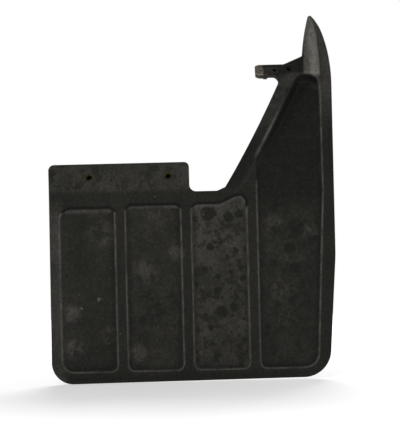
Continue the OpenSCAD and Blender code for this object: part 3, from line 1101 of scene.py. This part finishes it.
def add(tree: bpy.types.NodeTree, kind: str, *values: object, out: int | str = 0,
        links: dict[str | int, object] | None = None, **settings: object) -> Socket | None:
    """Add a node with its settings and its links.

    Args:
        tree: the material's or the world's tree.
        kind: the node's type, without the words that all types start with.
        values: what goes into the first sockets, each another node's output or a plain value.
        out: the output that is wanted.
        links: what goes into other sockets, by name or number.
        settings: the node's own properties.

    Returns:
        The wanted output, or None from a node that has none.
    """
    node = tree.nodes.new("ShaderNode" + kind)
    for name, value in settings.items():
        setattr(node, name, value)
    for socket, source in (dict(enumerate(values)) | (links or {})).items():
        if isinstance(source, bpy.types.NodeSocket):
            tree.links.new(source, node.inputs[socket])
        else:
            node.inputs[socket].default_value = source
    return node.outputs[out] if len(node.outputs) else None


@dataclass(frozen=True)
class Finish:
    """What every finish shares: a named material with one shader."""

    name: str = "finish"

    def start(self) -> tuple[bpy.types.Material, bpy.types.NodeTree, bpy.types.Node]:
        """Make the empty material with its shader and its output."""
        made = bpy.data.materials.new(self.name)
        made.use_nodes = True
        tree = made.node_tree
        tree.nodes.clear()
        shader = add(tree, "BsdfPrincipled").node
        add(tree, "OutputMaterial", shader.outputs[0])
        return made, tree, shader


@dataclass(frozen=True)
class Stain:
    """A round water mark on the rubber: its place, its radius and how far it takes the dust off."""

    x: float
    z: float
    radius: float
    cover: float = 1.0


@dataclass(frozen=True)
class MouldedRubber(Finish):
    """Carbon-black rubber, hot-pressed in a blasted mould and left with road dust and dried water marks, with
    painted shade in its creases and painted highlights on its edges.

    The carbon black takes nearly all light, so the eye reads it by its broad, dull sheen; the dust
    that lies on it is greyer and fully matt, and it is gone where drops have dried.
    """

    name: str = "rubber_carbon_black_moulded"
    rubber: str = "#161610"
    dust: str = "#8b8880"
    # Pale colour of worn edges, also used for painted highlights
    worn_and_highlight: str = "#8f8c84"
    cloud: float = 48.0
    blotch: float = 15.0
    spot: float = 15.0
    dot: float = 5.2
    mottle: float = 3.2
    # The blasted mould's grain is near 0.2 mm; it is drawn coarser, so that it shows
    grain: float = 1.1
    stains: tuple[Stain, ...] = (
        Stain(94, -46, 10.5), Stain(119, -51, 7.5), Stain(132, -47, 6.0), Stain(95.5, -87, 4.5),
        Stain(127, -91, 4.0), Stain(134, -124, 4.5), Stain(104, -139, 5.0), Stain(108, -165, 9.0),
        Stain(123, -161, 6.0), Stain(200, -66, 12.0), Stain(176, -67, 6.0), Stain(191, -91, 9.0),
        Stain(217, -79, 4.5), Stain(171, -109, 5.0), Stain(197, -114, 7.0), Stain(93, -145, 4.0),
        Stain(95, -184, 4.0))
    patches: tuple[Stain, ...] = (
        Stain(16, -116, 20.0, 0.17), Stain(55, -92, 12.0, 0.15), Stain(7, -212, 14.0, 0.14),
        Stain(-73, -163, 13.0, 0.15), Stain(-71, -205, 15.0, 0.14), Stain(-28, -190, 13.0, 0.10),
        Stain(-40, -146, 4.2, 0.5), Stain(-61, -157, 1.8, 0.42), Stain(-34, -68, 22.0, 0.08),
        Stain(174, -60, 13.0, 0.11), Stain(215, -72, 13.0, 0.09), Stain(193, -98, 18.0, 0.08),
        Stain(180, -140, 16.0, 0.08), Stain(188, -176, 14.0, 0.07), Stain(30, -54, 26.0, 0.05))

    def make(self) -> bpy.types.Material:
        """Build the rubber's material."""
        made, tree, shader = self.start()
        place = add(tree, "Attribute", out="Vector", attribute_name="rest_place")
        bloom, wear, spotting, grime = (add(tree, "Attribute", out="Fac", attribute_name=name)
                                        for name in ("bloom", "wear", "spotting", "grime"))
        blotch = add(tree, "TexNoise", place,
                     links={"Scale": 1 / self.blotch, "Detail": 5.0, "Roughness": 0.62})
        grain = add(tree, "TexNoise", place, links={"Scale": 1 / self.grain, "Detail": 2.0})
        mottle = add(tree, "TexNoise", place,
                     links={"Scale": 1 / self.mottle, "Detail": 6.0, "Roughness": 0.72})
        mottle = add(tree, "MapRange", mottle, 0.3, 0.7, 0.62, 1.38)
        depth = add(tree, "SeparateXYZ", place, out=1)
        front = add(tree, "Math", depth, -1.0, operation="MULTIPLY")
        front = add(tree, "MapRange", front, -4.4, -4.0, **SOFT)
        ragged = self.ragged_place(tree, place)

        bare = self.bare(tree, ragged, blotch, spotting, front)
        haze = self.haze(tree, place, ragged, blotch, bloom, front)
        kept = add(tree, "Math", bare, 0.85, operation="MULTIPLY")
        kept = add(tree, "Math", 1.0, kept, operation="SUBTRACT")
        haze = add(tree, "Math", haze, kept, operation="MULTIPLY")
        speck = add(tree, "MapRange", grain, 0.25, 0.75, 0.8, 1.2)
        haze = add(tree, "Math", haze, speck, operation="MULTIPLY")
        crumbs = add(tree, "MapRange", mottle, 0.95, 1.35, **SOFT)
        haze = add(tree, "Math", crumbs, 0.03, haze, operation="MULTIPLY_ADD")
        chips = self.dried_drops(tree, place, 2.4, 0.992)
        haze = add(tree, "Math", chips, 0.35, haze, operation="MULTIPLY_ADD")

        dusty = {0: haze, 6: linear(self.rubber), 7: linear(self.dust)}
        colour = add(tree, "Mix", out=2, links=dusty, data_type="RGBA")
        # Painted highlight together with wear: masked places are lightened towards the pale worn colour
        scuff_and_highlight = add(tree, "MapRange", blotch, 0.35, 0.6, **SOFT)
        scuff_and_highlight = add(tree, "Math", scuff_and_highlight, 0.55, 0.45, operation="MULTIPLY_ADD")
        scuff_and_highlight = add(tree, "Math", scuff_and_highlight, wear, operation="MULTIPLY")
        scuff_and_highlight = add(tree, "Math", scuff_and_highlight, 0.5, operation="MULTIPLY")
        scuff_and_highlight_mix = {0: scuff_and_highlight, 6: colour, 7: linear(self.worn_and_highlight)}
        colour = add(tree, "Mix", out=2, links=scuff_and_highlight_mix, data_type="RGBA")
        # Painted shade: the colour is darkened by the shade mask and varied by the mottle
        unshaded = add(tree, "Math", 1.0, grime, operation="SUBTRACT")
        shade = add(tree, "Math", mottle, unshaded, operation="MULTIPLY")
        colour = add(tree, "VectorMath", colour, links={"Scale": shade}, operation="SCALE")
        tree.links.new(colour, shader.inputs["Base Color"])

        rough = add(tree, "Math", haze, 0.5, 0.6, operation="MULTIPLY_ADD")
        wet = add(tree, "Math", bare, 0.06, operation="MULTIPLY")
        rough = add(tree, "Math", rough, wet, operation="SUBTRACT")
        tree.links.new(rough, shader.inputs["Roughness"])
        shader.inputs["IOR"].default_value = 1.5
        shader.inputs["Specular IOR Level"].default_value = 0.22

        fine = {"Height": grain, "Strength": 0.35, "Distance": 0.12 * MM}
        fine = add(tree, "Bump", links=fine)
        broad = {"Height": blotch, "Strength": 0.25, "Distance": 0.5 * MM, "Normal": fine}
        tree.links.new(add(tree, "Bump", links=broad), shader.inputs["Normal"])
        return made

    def ragged_place(self, tree: bpy.types.NodeTree, place: Socket) -> Socket:
        """Shift places a little by noise, so that marks get ragged edges.

        Args:
            tree: the material's tree.
            place: where on the rubber, in millimetres.

        Returns:
            The shifted places.
        """
        warp = add(tree, "TexNoise", place, out="Color", links={"Scale": 1 / 8.0, "Detail": 4.0})
        shift = add(tree, "VectorMath", warp, (0.5, 0.5, 0.5), operation="SUBTRACT")
        shift = add(tree, "VectorMath", shift, links={"Scale": 8.0}, operation="SCALE")
        return add(tree, "VectorMath", place, shift, operation="ADD")

    def bare(self, tree: bpy.types.NodeTree, place: Socket, blotch: Socket, spotting: Socket,
             front: Socket) -> Socket:
        """Find where dried water has taken the dust off.

        Args:
            tree: the material's tree.
            place: where on the rubber, with ragged shifts.
            blotch: the blotches' noise.
            spotting: how spotted each place is.
            front: 1 on the front face.

        Returns:
            A mask that is 1 where the rubber is bare.
        """
        marks = self.dried_drops(tree, place, self.spot, 0.62)
        dots = self.dried_drops(tree, place, self.dot, 0.5)
        drops = add(tree, "Math", marks, dots, operation="MAXIMUM")
        drops = add(tree, "Math", drops, spotting, operation="MULTIPLY")
        named = self.named_stains(tree, place, self.stains, 0.45)
        named = add(tree, "Math", named, front, operation="MULTIPLY")
        drops = add(tree, "Math", drops, named, operation="MAXIMUM")
        damp = add(tree, "MapRange", blotch, 0.5, 0.6, **SOFT)
        share = add(tree, "Math", spotting, 0.8, operation="MULTIPLY")
        damp = add(tree, "Math", damp, share, operation="MULTIPLY")
        return add(tree, "Math", drops, damp, operation="MAXIMUM")

    def haze(self, tree: bpy.types.NodeTree, place: Socket, ragged: Socket, blotch: Socket,
             bloom: Socket, front: Socket) -> Socket:
        """Work out how much dust lies at each place before drops take it off.

        Args:
            tree: the material's tree.
            place: where on the rubber, in millimetres.
            ragged: the same with ragged shifts.
            blotch: the blotches' noise.
            bloom: the dust that each part of the moulding carries.
            front: 1 on the front face.

        Returns:
            The dust's cover.
        """
        cloud = {"Scale": 1 / self.cloud, "Detail": 4.0, "Roughness": 0.6}
        cloud = add(tree, "TexNoise", place, links=cloud)
        cloud = add(tree, "MapRange", cloud, 0.32, 0.68, 0.55, 1.4)
        streaks = add(tree, "VectorMath", place, (0.42, 0.42, 0.018), operation="MULTIPLY")
        streaks = add(tree, "TexNoise", streaks, links={"Scale": 1.0, "Detail": 3.0})
        streaks = add(tree, "MapRange", streaks, 0.3, 0.7, 0.72, 1.2)
        streaked = add(tree, "MapRange", bloom, 0.35, 0.7, **SOFT)
        haze = add(tree, "Mix", streaked, links={"A": cloud, "B": streaks})
        patchy = add(tree, "MapRange", blotch, 0.42, 0.5, **SOFT)
        more = self.named_stains(tree, ragged, self.patches, 0.8)
        more = add(tree, "Math", more, patchy, operation="MULTIPLY")
        more = add(tree, "Math", more, front, operation="MULTIPLY")
        more = add(tree, "Math", bloom, more, operation="ADD")
        return add(tree, "Math", haze, more, operation="MULTIPLY")

    def dried_drops(self, tree: bpy.types.NodeTree, place: Socket, pitch: float,
                    share: float) -> Socket:
        """Scatter round drop marks of mixed size.

        Args:
            tree: the material's tree.
            place: where on the rubber, in millimetres.
            pitch: mean distance between drops.
            share: how many of the places hold no drop, from 0 to 1.

        Returns:
            A mask that is 1 in the drops.
        """
        flat = add(tree, "VectorMath", place, (1.0, 0.0, 1.0), operation="MULTIPLY")
        cells = add(tree, "TexVoronoi", flat, links={"Scale": 1 / pitch, "Randomness": 0.9}).node
        chance = add(tree, "SeparateColor", cells.outputs["Color"])
        size = add(tree, "MapRange", chance, share, 1.0, 0.0, 0.42)
        edge = add(tree, "Math", size, cells.outputs["Distance"], operation="SUBTRACT")
        return add(tree, "MapRange", edge, -0.02, 0.06, **SOFT)

    def named_stains(self, tree: bpy.types.NodeTree, place: Socket, stains: tuple[Stain, ...],
                     soft: float) -> Socket:
        """Draw larger marks at their own places.

        Args:
            tree: the material's tree.
            place: where on the rubber, in millimetres.
            stains: the marks.
            soft: how much of a mark's radius its edge fades over.

        Returns:
            The strongest mark's cover at each place.
        """
        total: object = 0.0
        flat = add(tree, "VectorMath", place, (1.0, 0.0, 1.0), operation="MULTIPLY")
        for stain in stains:
            centre = (stain.x, 0.0, stain.z)
            gap = add(tree, "VectorMath", flat, centre, out="Value", operation="DISTANCE")
            gap = add(tree, "Math", gap, -1 / stain.radius, operation="MULTIPLY")
            mark = add(tree, "MapRange", gap, -1.1, soft - 1.1, **SOFT)
            mark = add(tree, "Math", mark, stain.cover, operation="MULTIPLY")
            total = add(tree, "Math", mark, total, operation="MAXIMUM")
        return total


class Surface(Enum):
    """How a metal insert's surface was left."""

    ZINC_YELLOW = "steel_zinc_yellow_passivated"
    PHOSPHATE = "spring_steel_phosphated"
    ROLLED = "mild_steel_cold_rolled"


@dataclass(frozen=True)
class PlatedSteel(Finish):
    """A thin metal insert: pressed or folded steel with a coating that has aged unevenly.

    The coating's tint drifts over the surface, its sheen is broken by fine rolling marks, and rust
    or dirt settles in patches, which are rough and hardly reflect.
    """

    metal: str = "#9a9a9c"
    tint: str = "#8c8c90"
    dirt: str = "#3a2f25"
    dirt_share: float = 0.5
    dirt_edge: float = 0.14
    roughness: float = 0.42
    drift: float = 6.0
    coat: str = "#2c2b29"
    coat_from: float = 1000.0
    # Rolling marks are near 0.05 mm apart; they are drawn coarser, so that they show
    marks: float = 0.5

    def make(self) -> bpy.types.Material:
        """Build the metal's material."""
        made, tree, shader = self.start()
        place = add(tree, "TexCoord", out="Object")
        place = add(tree, "VectorMath", place, links={"Scale": 1 / MM}, operation="SCALE")
        drift = add(tree, "TexNoise", place, links={"Scale": 1 / self.drift, "Detail": 3.0})
        spread = add(tree, "MapRange", drift, 0.35, 0.65)
        patchy = {"Scale": 1 / (0.6 * self.drift), "Detail": 6.0, "Roughness": 0.7}
        grime = add(tree, "TexNoise", place, links=patchy)
        grime = add(tree, "MapRange", grime, self.dirt_share, self.dirt_share + self.dirt_edge, **SOFT)
        across = add(tree, "SeparateXYZ", place)
        across = add(tree, "Math", spread, 2.0, across, operation="MULTIPLY_ADD")
        coated = add(tree, "MapRange", across, self.coat_from, self.coat_from + 2.0)

        colour: object = linear(self.metal)
        for share, layer in ((spread, self.tint), (grime, self.dirt), (coated, self.coat)):
            colour = add(tree, "Mix", out=2, links={0: share, 6: colour, 7: linear(layer)},
                         data_type="RGBA")
        tree.links.new(colour, shader.inputs["Base Color"])
        lines = add(tree, "VectorMath", place, (0.06, 1.0, 1.0), operation="MULTIPLY")
        lines = add(tree, "TexNoise", lines, links={"Scale": 1 / self.marks, "Detail": 2.0})
        limits = {"To Min": self.roughness - 0.1, "To Max": self.roughness + 0.15}
        rough = add(tree, "MapRange", lines, links=limits)
        rough = add(tree, "Mix", grime, links={"A": rough, "B": 0.85})
        tree.links.new(rough, shader.inputs["Roughness"])
        covered = add(tree, "Math", coated, grime, operation="MAXIMUM")
        covered = add(tree, "Math", 1.0, covered, operation="SUBTRACT")
        tree.links.new(covered, shader.inputs["Metallic"])
        bump = {"Height": lines, "Strength": 0.3, "Distance": 0.05 * MM}
        bump = add(tree, "Bump", links=bump)
        crust = {"Height": grime, "Strength": 0.5, "Distance": 0.08 * MM, "Normal": bump}
        tree.links.new(add(tree, "Bump", links=crust), shader.inputs["Normal"])
        return made


YELLOW_ZINC = PlatedSteel(name=Surface.ZINC_YELLOW.value, metal="#6e6238", tint="#5c5a3a",
                          dirt="#33301f", dirt_share=0.46, dirt_edge=0.3, roughness=0.5, drift=11.0)
SPRING_STEEL = PlatedSteel(name=Surface.PHOSPHATE.value, metal="#bdbab0", tint="#8c8371",
                           dirt="#4e3c2c", dirt_share=0.46, roughness=0.55, drift=3.0,
                           coat_from=163.0)
ROLLED_STEEL = PlatedSteel(name=Surface.ROLLED.value, metal="#77777a", tint="#66666a",
                           dirt="#2e2823", dirt_share=0.5, roughness=0.5, drift=5.0)


# ---------------------------------------------------------------- metal inserts

@dataclass
class ClinchNuts:
    """The two closed-end nuts behind the flange, each with a chamfered hexagon and a real thread."""

    pitch: float
    front: float
    sheet_back: float
    back: float
    shank: float = 4.5
    corner: float = 5.5
    bore: float = 2.5
    thread_deep: float = 0.3
    thread_pitch: float = 1.0
    blind: float = 2.0
    sides: int = 48

    @classmethod
    def from_frame(cls) -> "ClinchNuts":
        """Read the nuts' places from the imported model."""
        low, high = (np.array(corner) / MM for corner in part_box("clinch_nuts"))
        mounts = {m["name"]: m for m in frame["record"]["mounts"]}
        return cls(pitch=mounts["flange_bolts"]["dims"]["spacing_x_mm"], front=low[1],
                   sheet_back=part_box("nut_plate")[1][1] / MM, back=high[1],
                   bore=mounts["flange_bolts"]["dims"]["hole_r_mm"])

    def build(self) -> bpy.types.Object:
        """Build both nuts as one piece."""
        book = MeshBook()
        angle = np.linspace(0, 2 * math.pi, self.sides, endpoint=False)
        turn = np.mod(angle, math.pi / 3) - math.pi / 6
        hexagon = self.corner * math.cos(math.pi / 6) / np.cos(turn)
        for side in (-1, 1):
            centre = side * self.pitch / 2

            def ring(radius: Points, y: Points) -> Points:
                """Add one ring of the nut's surface."""
                r, depth = radius + 0 * angle, y + 0 * angle
                return book.add(np.stack([centre + r * np.cos(angle), depth, r * np.sin(angle)], axis=1))

            rings = [ring(self.shank - 0.3, self.front), ring(self.shank - 0.05, self.front + 0.25),
                     ring(self.shank - 0.05, self.sheet_back - 0.02)]
            for cut, y in ((0.0, 0.02), (0.75, 0.5), (1.2, 1.2)):
                rings.append(ring(np.minimum(hexagon, self.shank + 0.25 + cut), self.sheet_back + y))
            span = self.back - self.sheet_back
            for share in (0.35, 0.65, 0.85):
                rings.append(ring(hexagon, self.sheet_back + span * share))
            for cut, y in ((0.1, 1.2), (0.55, 0.5), (1.3, 0.08), (2.2, 0.0)):
                rings.append(ring(np.minimum(hexagon, self.corner - cut), self.back - y))
            for a, b in zip(rings, rings[1:]):
                book.strip(a, b)
            cap = book.add(np.array([[centre, self.back, 0.0]]))
            book.fan(rings[-1], int(cap[0]))

            mouth = [rings[0], ring(self.bore + 0.9, self.front),
                     ring(self.bore + 0.45, self.front + 0.3)]
            depth = self.back - self.blind - self.front
            steps = int(depth / self.thread_pitch * 8)
            for k in range(steps + 1):
                y = 0.5 + (depth - 0.7) * k / steps
                phase = np.mod(y / self.thread_pitch + angle / (2 * math.pi), 1.0)
                groove = self.thread_deep * (1 - np.abs(2 * phase - 1))
                mouth.append(ring(self.bore + groove, self.front + y))
            for a, b in zip(mouth, mouth[1:]):
                book.strip(b, a)
            floor = book.add(np.array([[centre, self.front + depth + 0.4, 0.0]]))
            book.fan(mouth[-1], int(floor[0]))
        return book.build("clinch_nuts_threaded", True)

    def dress(self, piece: bpy.types.Object) -> None:
        """Give the nuts their finish and their place on the head.

        Args:
            piece: the nuts' object.
        """
        piece.data.materials.append(YELLOW_ZINC.make())
        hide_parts("clinch_nuts")
        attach(piece, "head")


@dataclass
class ClipNut:
    """The folded spring-steel nut on the lug's end, bent up from one flat blank."""

    hood: HoodSizes
    fold: float = 154.9
    gap: float = 5.5
    steel: float = 0.88
    bend: float = 0.7
    high: float = 15.2
    low: float = 31.2
    wide_to: float = 163.5
    lip_to: float = 168.0
    tail_to: float = 181.98
    tail_half: float = 4.5
    screw: tuple[float, float] = (177.3, 24.7)
    screw_hole: float = 2.4
    thread: float = 1.8
    barrel: float = 3.2
    barrel_back: float = 8.78
    lip_back: float = 7.75

    def along(self, x: float) -> float:
        """Distance along the blank from the fold's middle to a place on a leaf."""
        return self.gap / 2 - self.bend + self.bend * math.pi / 2 + x - self.fold - self.bend

    def tilted(self, x: Points, s: Points, n: Points) -> Points:
        """Turn places on the shelf (across, down its slope, into the rubber) into points."""
        sin, cos = math.sin(self.hood.tilt), math.cos(self.hood.tilt)
        return np.stack([x, cos * n - sin * s, self.hood.hood_top - cos * s - sin * n], axis=1)

    def bent(self, p: Points, out: float) -> Points:
        """Bend the flat blank round the lug.

        Args:
            p: places on the blank, along it from the fold's middle and across it.
            out: distance from the blank's inner side.

        Returns:
            The points, in millimetres.
        """
        a, flat = np.abs(p[:, 0]), self.gap / 2 - self.bend
        turn = np.clip((a - flat) / self.bend, 0, math.pi / 2)
        past = np.maximum(a - flat - self.bend * math.pi / 2, 0)
        x = self.fold + self.bend - (self.bend + out) * np.cos(turn) + past
        off = np.minimum(a, flat) + (self.bend + out) * np.sin(turn)
        return self.tilted(x, -p[:, 1], self.gap / 2 + np.sign(p[:, 0]) * off)

    def blank(self) -> Points:
        """The flat blank's outline, from the fold's upper corner round both leaves."""
        wide, tail = self.along(self.wide_to), self.along(self.tail_to)
        mid, lip = -self.screw[1], self.along(self.lip_to)
        half = [(1.6, -self.high - 1.5, 1.5), (5.4, -self.high, 2.0), (wide, -self.high, 1.0),
                (wide + 2, mid + self.tail_half, 1.0), (tail, mid + self.tail_half, 2.0),
                (tail, mid - self.tail_half, 2.0), (lip + 2, mid - self.tail_half, 0.5),
                (lip, -self.low, 0.5), (6.0, -self.low, 2.4), (1.8, -self.low + 2.4, 1.8)]
        other = [(-corner[0],) + corner[1:] for corner in reversed(half)]
        return divide(fillet(half + other, 0.5), 0.7)

    def build(self) -> bpy.types.Object:
        """Build the bent blank, its threaded barrel and its lip as one piece."""
        book = MeshBook()
        outline, t = self.blank(), self.along(self.screw[0])
        holes = [circle(-t, -self.screw[1], self.screw_hole, 40),
                 circle(t, -self.screw[1], self.thread, 40)]
        near = hex_points(np.array([-5.0, -32.0]), np.array([5.0, -14.0]), 0.55)
        rest = hex_points(np.array([-31.0, -32.0]), np.array([31.0, -14.0]), 1.8)
        flat, faces = fill(outline, holes, [(near, 0.4), (rest, 0.9)])
        sides = []
        for out in (0.0, self.steel):
            side = book.add(self.bent(flat, out))
            book.faces += [tuple(int(side[k]) for k in face) for face in faces]
            sides.append(side)
        first = 0
        for loop in [outline] + holes:
            book.strip(sides[0][first:first + len(loop)], sides[1][first:first + len(loop)])
            first += len(loop)
        self.add_barrel(book)
        self.add_lip(book)
        return book.build("clip_nut_folded", True)

    def add_barrel(self, book: MeshBook) -> None:
        """Add the drawn barrel with the screw's thread in it.

        Args:
            book: the clip's mesh.
        """
        angle = np.linspace(0, 2 * math.pi, 40, endpoint=False)
        rows = [(self.barrel + 0.5, 6.2), (self.barrel + 0.1, 6.5), (self.barrel, 6.9),
                (self.barrel, self.barrel_back - 0.3), (self.barrel - 0.3, self.barrel_back),
                (self.thread + 0.4, self.barrel_back)]
        depths = np.linspace(self.barrel_back - 0.3, 5.7, 18)
        rings = []
        for radius, n in rows + [(self.thread, float(depth)) for depth in depths]:
            r = radius + 0 * angle
            if radius == self.thread:
                phase = np.mod(n / 1.4 + angle / (2 * math.pi), 1.0)
                r = r + 0.25 * (1 - np.abs(2 * phase - 1))
            rings.append(book.add(self.tilted(self.screw[0] + r * np.cos(angle),
                                              self.screw[1] + r * np.sin(angle), n + 0 * angle)))
        for a, b in zip(rings, rings[1:] + rings[:1]):
            book.strip(a, b)

    def add_lip(self, book: MeshBook) -> None:
        """Add the lip that is turned out below the wide end.

        Args:
            book: the clip's mesh.
        """
        corners = [(self.wide_to, self.low - 0.9, 0.3), (self.wide_to, self.low - 0.05, 0.3),
                   (self.lip_to, self.low - 0.05, 0.3), (self.lip_to, self.low - 0.9, 0.3)]
        loop = fillet(corners, 0.2)
        middle = loop.mean(axis=0)
        rings = []
        for n, share in ((6.0, 0.97), (6.3, 1.0), (self.lip_back - 0.15, 1.0), (self.lip_back, 0.94)):
            p = middle + (loop - middle) * share
            rings.append(book.add(self.tilted(p[:, 0], p[:, 1], n + 0 * p[:, 0])))
        for a, b in zip(rings, rings[1:]):
            book.strip(a, b)
        for ring, n in ((rings[0], 6.0), (rings[-1], self.lip_back)):
            tip = book.add(self.tilted(middle[:1], middle[1:], np.array([n])))
            book.fan(ring, int(tip[0]))

    def dress(self, piece: bpy.types.Object) -> None:
        """Give the clip its finish, its rolled edges and its place on the head.

        Args:
            piece: the clip's object.
        """
        piece.data.materials.append(SPRING_STEEL.make())
        bevel = piece.modifiers.new("rolled_edges", "BEVEL")
        bevel.width = 0.12 * MM
        bevel.segments = 2
        bevel.angle_limit = math.radians(60)
        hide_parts("clip_nut")
        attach(piece, "head")


@dataclass
class PressedInsert:
    """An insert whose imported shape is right, so it only gets softened edges and its finish."""

    node: str
    finish: PlatedSteel
    edge: float = 0.2

    def dress(self) -> None:
        """Soften the insert's edges and give it its finish."""
        piece = frame["nodes"][self.node]
        piece.data.materials.clear()
        piece.data.materials.append(self.finish.make())
        bevel = piece.modifiers.new("rolled_edges", "BEVEL")
        bevel.width = self.edge * MM
        bevel.segments = 2
        bevel.angle_limit = math.radians(50)
        piece.data.shade_smooth()
        LOG.info("%s: packed shape, %s", self.node, self.finish.name)


# ---------------------------------------------------------------- studio

@dataclass(frozen=True)
class Studio:
    """A pale floor, a soft light from above and the camera."""

    aim: tuple[float, float] = (84.5, -44.6)
    view_high: float = 508.8
    distance: float = 1900.0
    roll: float = math.radians(1.4)
    floor_colour: str = "#f4f4f3"

    def place_camera(self) -> None:
        """Set the camera level in front of the flap, a little rolled."""
        data = bpy.data.cameras.new("camera")
        data.sensor_width = 36.0
        data.lens = data.sensor_width * self.distance / self.view_high
        data.clip_start, data.clip_end = 0.05, 50.0
        camera = bpy.data.objects.new("camera", data)
        camera.location = Vector((self.aim[0], -self.distance, self.aim[1])) * MM
        camera.rotation_euler = (math.pi / 2, self.roll, 0.0)
        bpy.context.scene.collection.objects.link(camera)
        bpy.context.scene.camera = camera

    def light(self) -> None:
        """Hang a large soft light above and in front, and set the even light of a pale room."""
        for name, place, size, power in (("key", (-0.5, -1.4, 1.75), 1.3, 10.5),
                                         ("fill", (-1.6, -1.6, 0.5), 1.4, 1.8),
                                         ("back", (0.4, 1.9, 1.6), 1.8, 38.0)):
            data = bpy.data.lights.new(name, "AREA")
            data.energy, data.size = power, size
            lamp = bpy.data.objects.new(name, data)
            lamp.location = place
            way = Vector((0.08, 0.0, -0.03)) - Vector(place)
            lamp.rotation_euler = way.to_track_quat("-Z", "Y").to_euler()
            bpy.context.scene.collection.objects.link(lamp)
        world = bpy.data.worlds.new("pale_room")
        world.use_nodes = True
        tree = world.node_tree
        tree.nodes.clear()
        seen = add(tree, "LightPath", out="Is Camera Ray")
        even = add(tree, "Background", linear("#ffffff"), 0.054)
        white = add(tree, "Background", linear("#ffffff"), 1.0)
        add(tree, "OutputWorld", add(tree, "MixShader", seen, even, white))
        bpy.context.scene.world = world
        bpy.context.scene.view_settings.view_transform = "Standard"

    def lay_floor(self, height: float) -> None:
        """Lay the pale floor that the flap stands on, which glows more towards its rim.

        Args:
            height: the floor's height, in metres.
        """
        book = MeshBook()
        rings = []
        for radius in (1.0, 300.0, 600.0, 900.0, 1200.0):
            p = circle(0.0, 0.0, radius, 48)
            rings.append(book.add(np.stack([p[:, 0], p[:, 1], np.full(48, height / MM)], axis=1)))
        middle = book.add(np.array([[0.0, 0.0, height / MM]]))
        book.fan(rings[0], int(middle[0]))
        for a, b in zip(rings, rings[1:]):
            book.strip(a, b)
        floor = book.build("floor", True)
        made, tree, shader = Finish("paper_sweep_painted_glow").start()
        place = add(tree, "TexCoord", out="Object")
        fibre = add(tree, "TexNoise", place, links={"Scale": 30.0, "Detail": 3.0})
        papers = {0: fibre, 6: linear(self.floor_colour), 7: linear("#fafafa")}
        colour = add(tree, "Mix", out=2, links=papers, data_type="RGBA")
        tree.links.new(colour, shader.inputs["Base Color"])
        # Painted glow: the floor emits light, weakest near the flap and strongest towards its rim
        away = add(tree, "VectorMath", place, out="Value", operation="LENGTH")
        glow = add(tree, "MapRange", away, 0.1, 0.8, 0.4, 1.0, **SOFT)
        tree.links.new(glow, shader.inputs["Emission Strength"])
        shader.inputs["Emission Color"].default_value = linear("#ffffff")
        shader.inputs["Roughness"].default_value = 0.9
        floor.data.materials.append(made)


def main() -> None:
    """Build the rubber, then its metal inserts, then the studio round them."""
    logging.basicConfig(level=logging.INFO, format="%(message)s")
    sheet, hood = SheetSizes.from_frame(), HoodSizes()
    studio = Studio()
    studio.place_camera()
    flap = RubberFlap(sheet, hood)
    flap.dress(flap.build())
    nuts = ClinchNuts.from_frame()
    nuts.dress(nuts.build())
    PressedInsert("nut_plate", YELLOW_ZINC, 0.25).dress()
    PressedInsert("lug_tongue", ROLLED_STEEL, 0.15).dress()
    clip = ClipNut(hood)
    clip.dress(clip.build())
    studio.light()
    studio.lay_floor(CAD_BOX[0][2] - 0.0003)


if __name__ == "__main__":
    main()
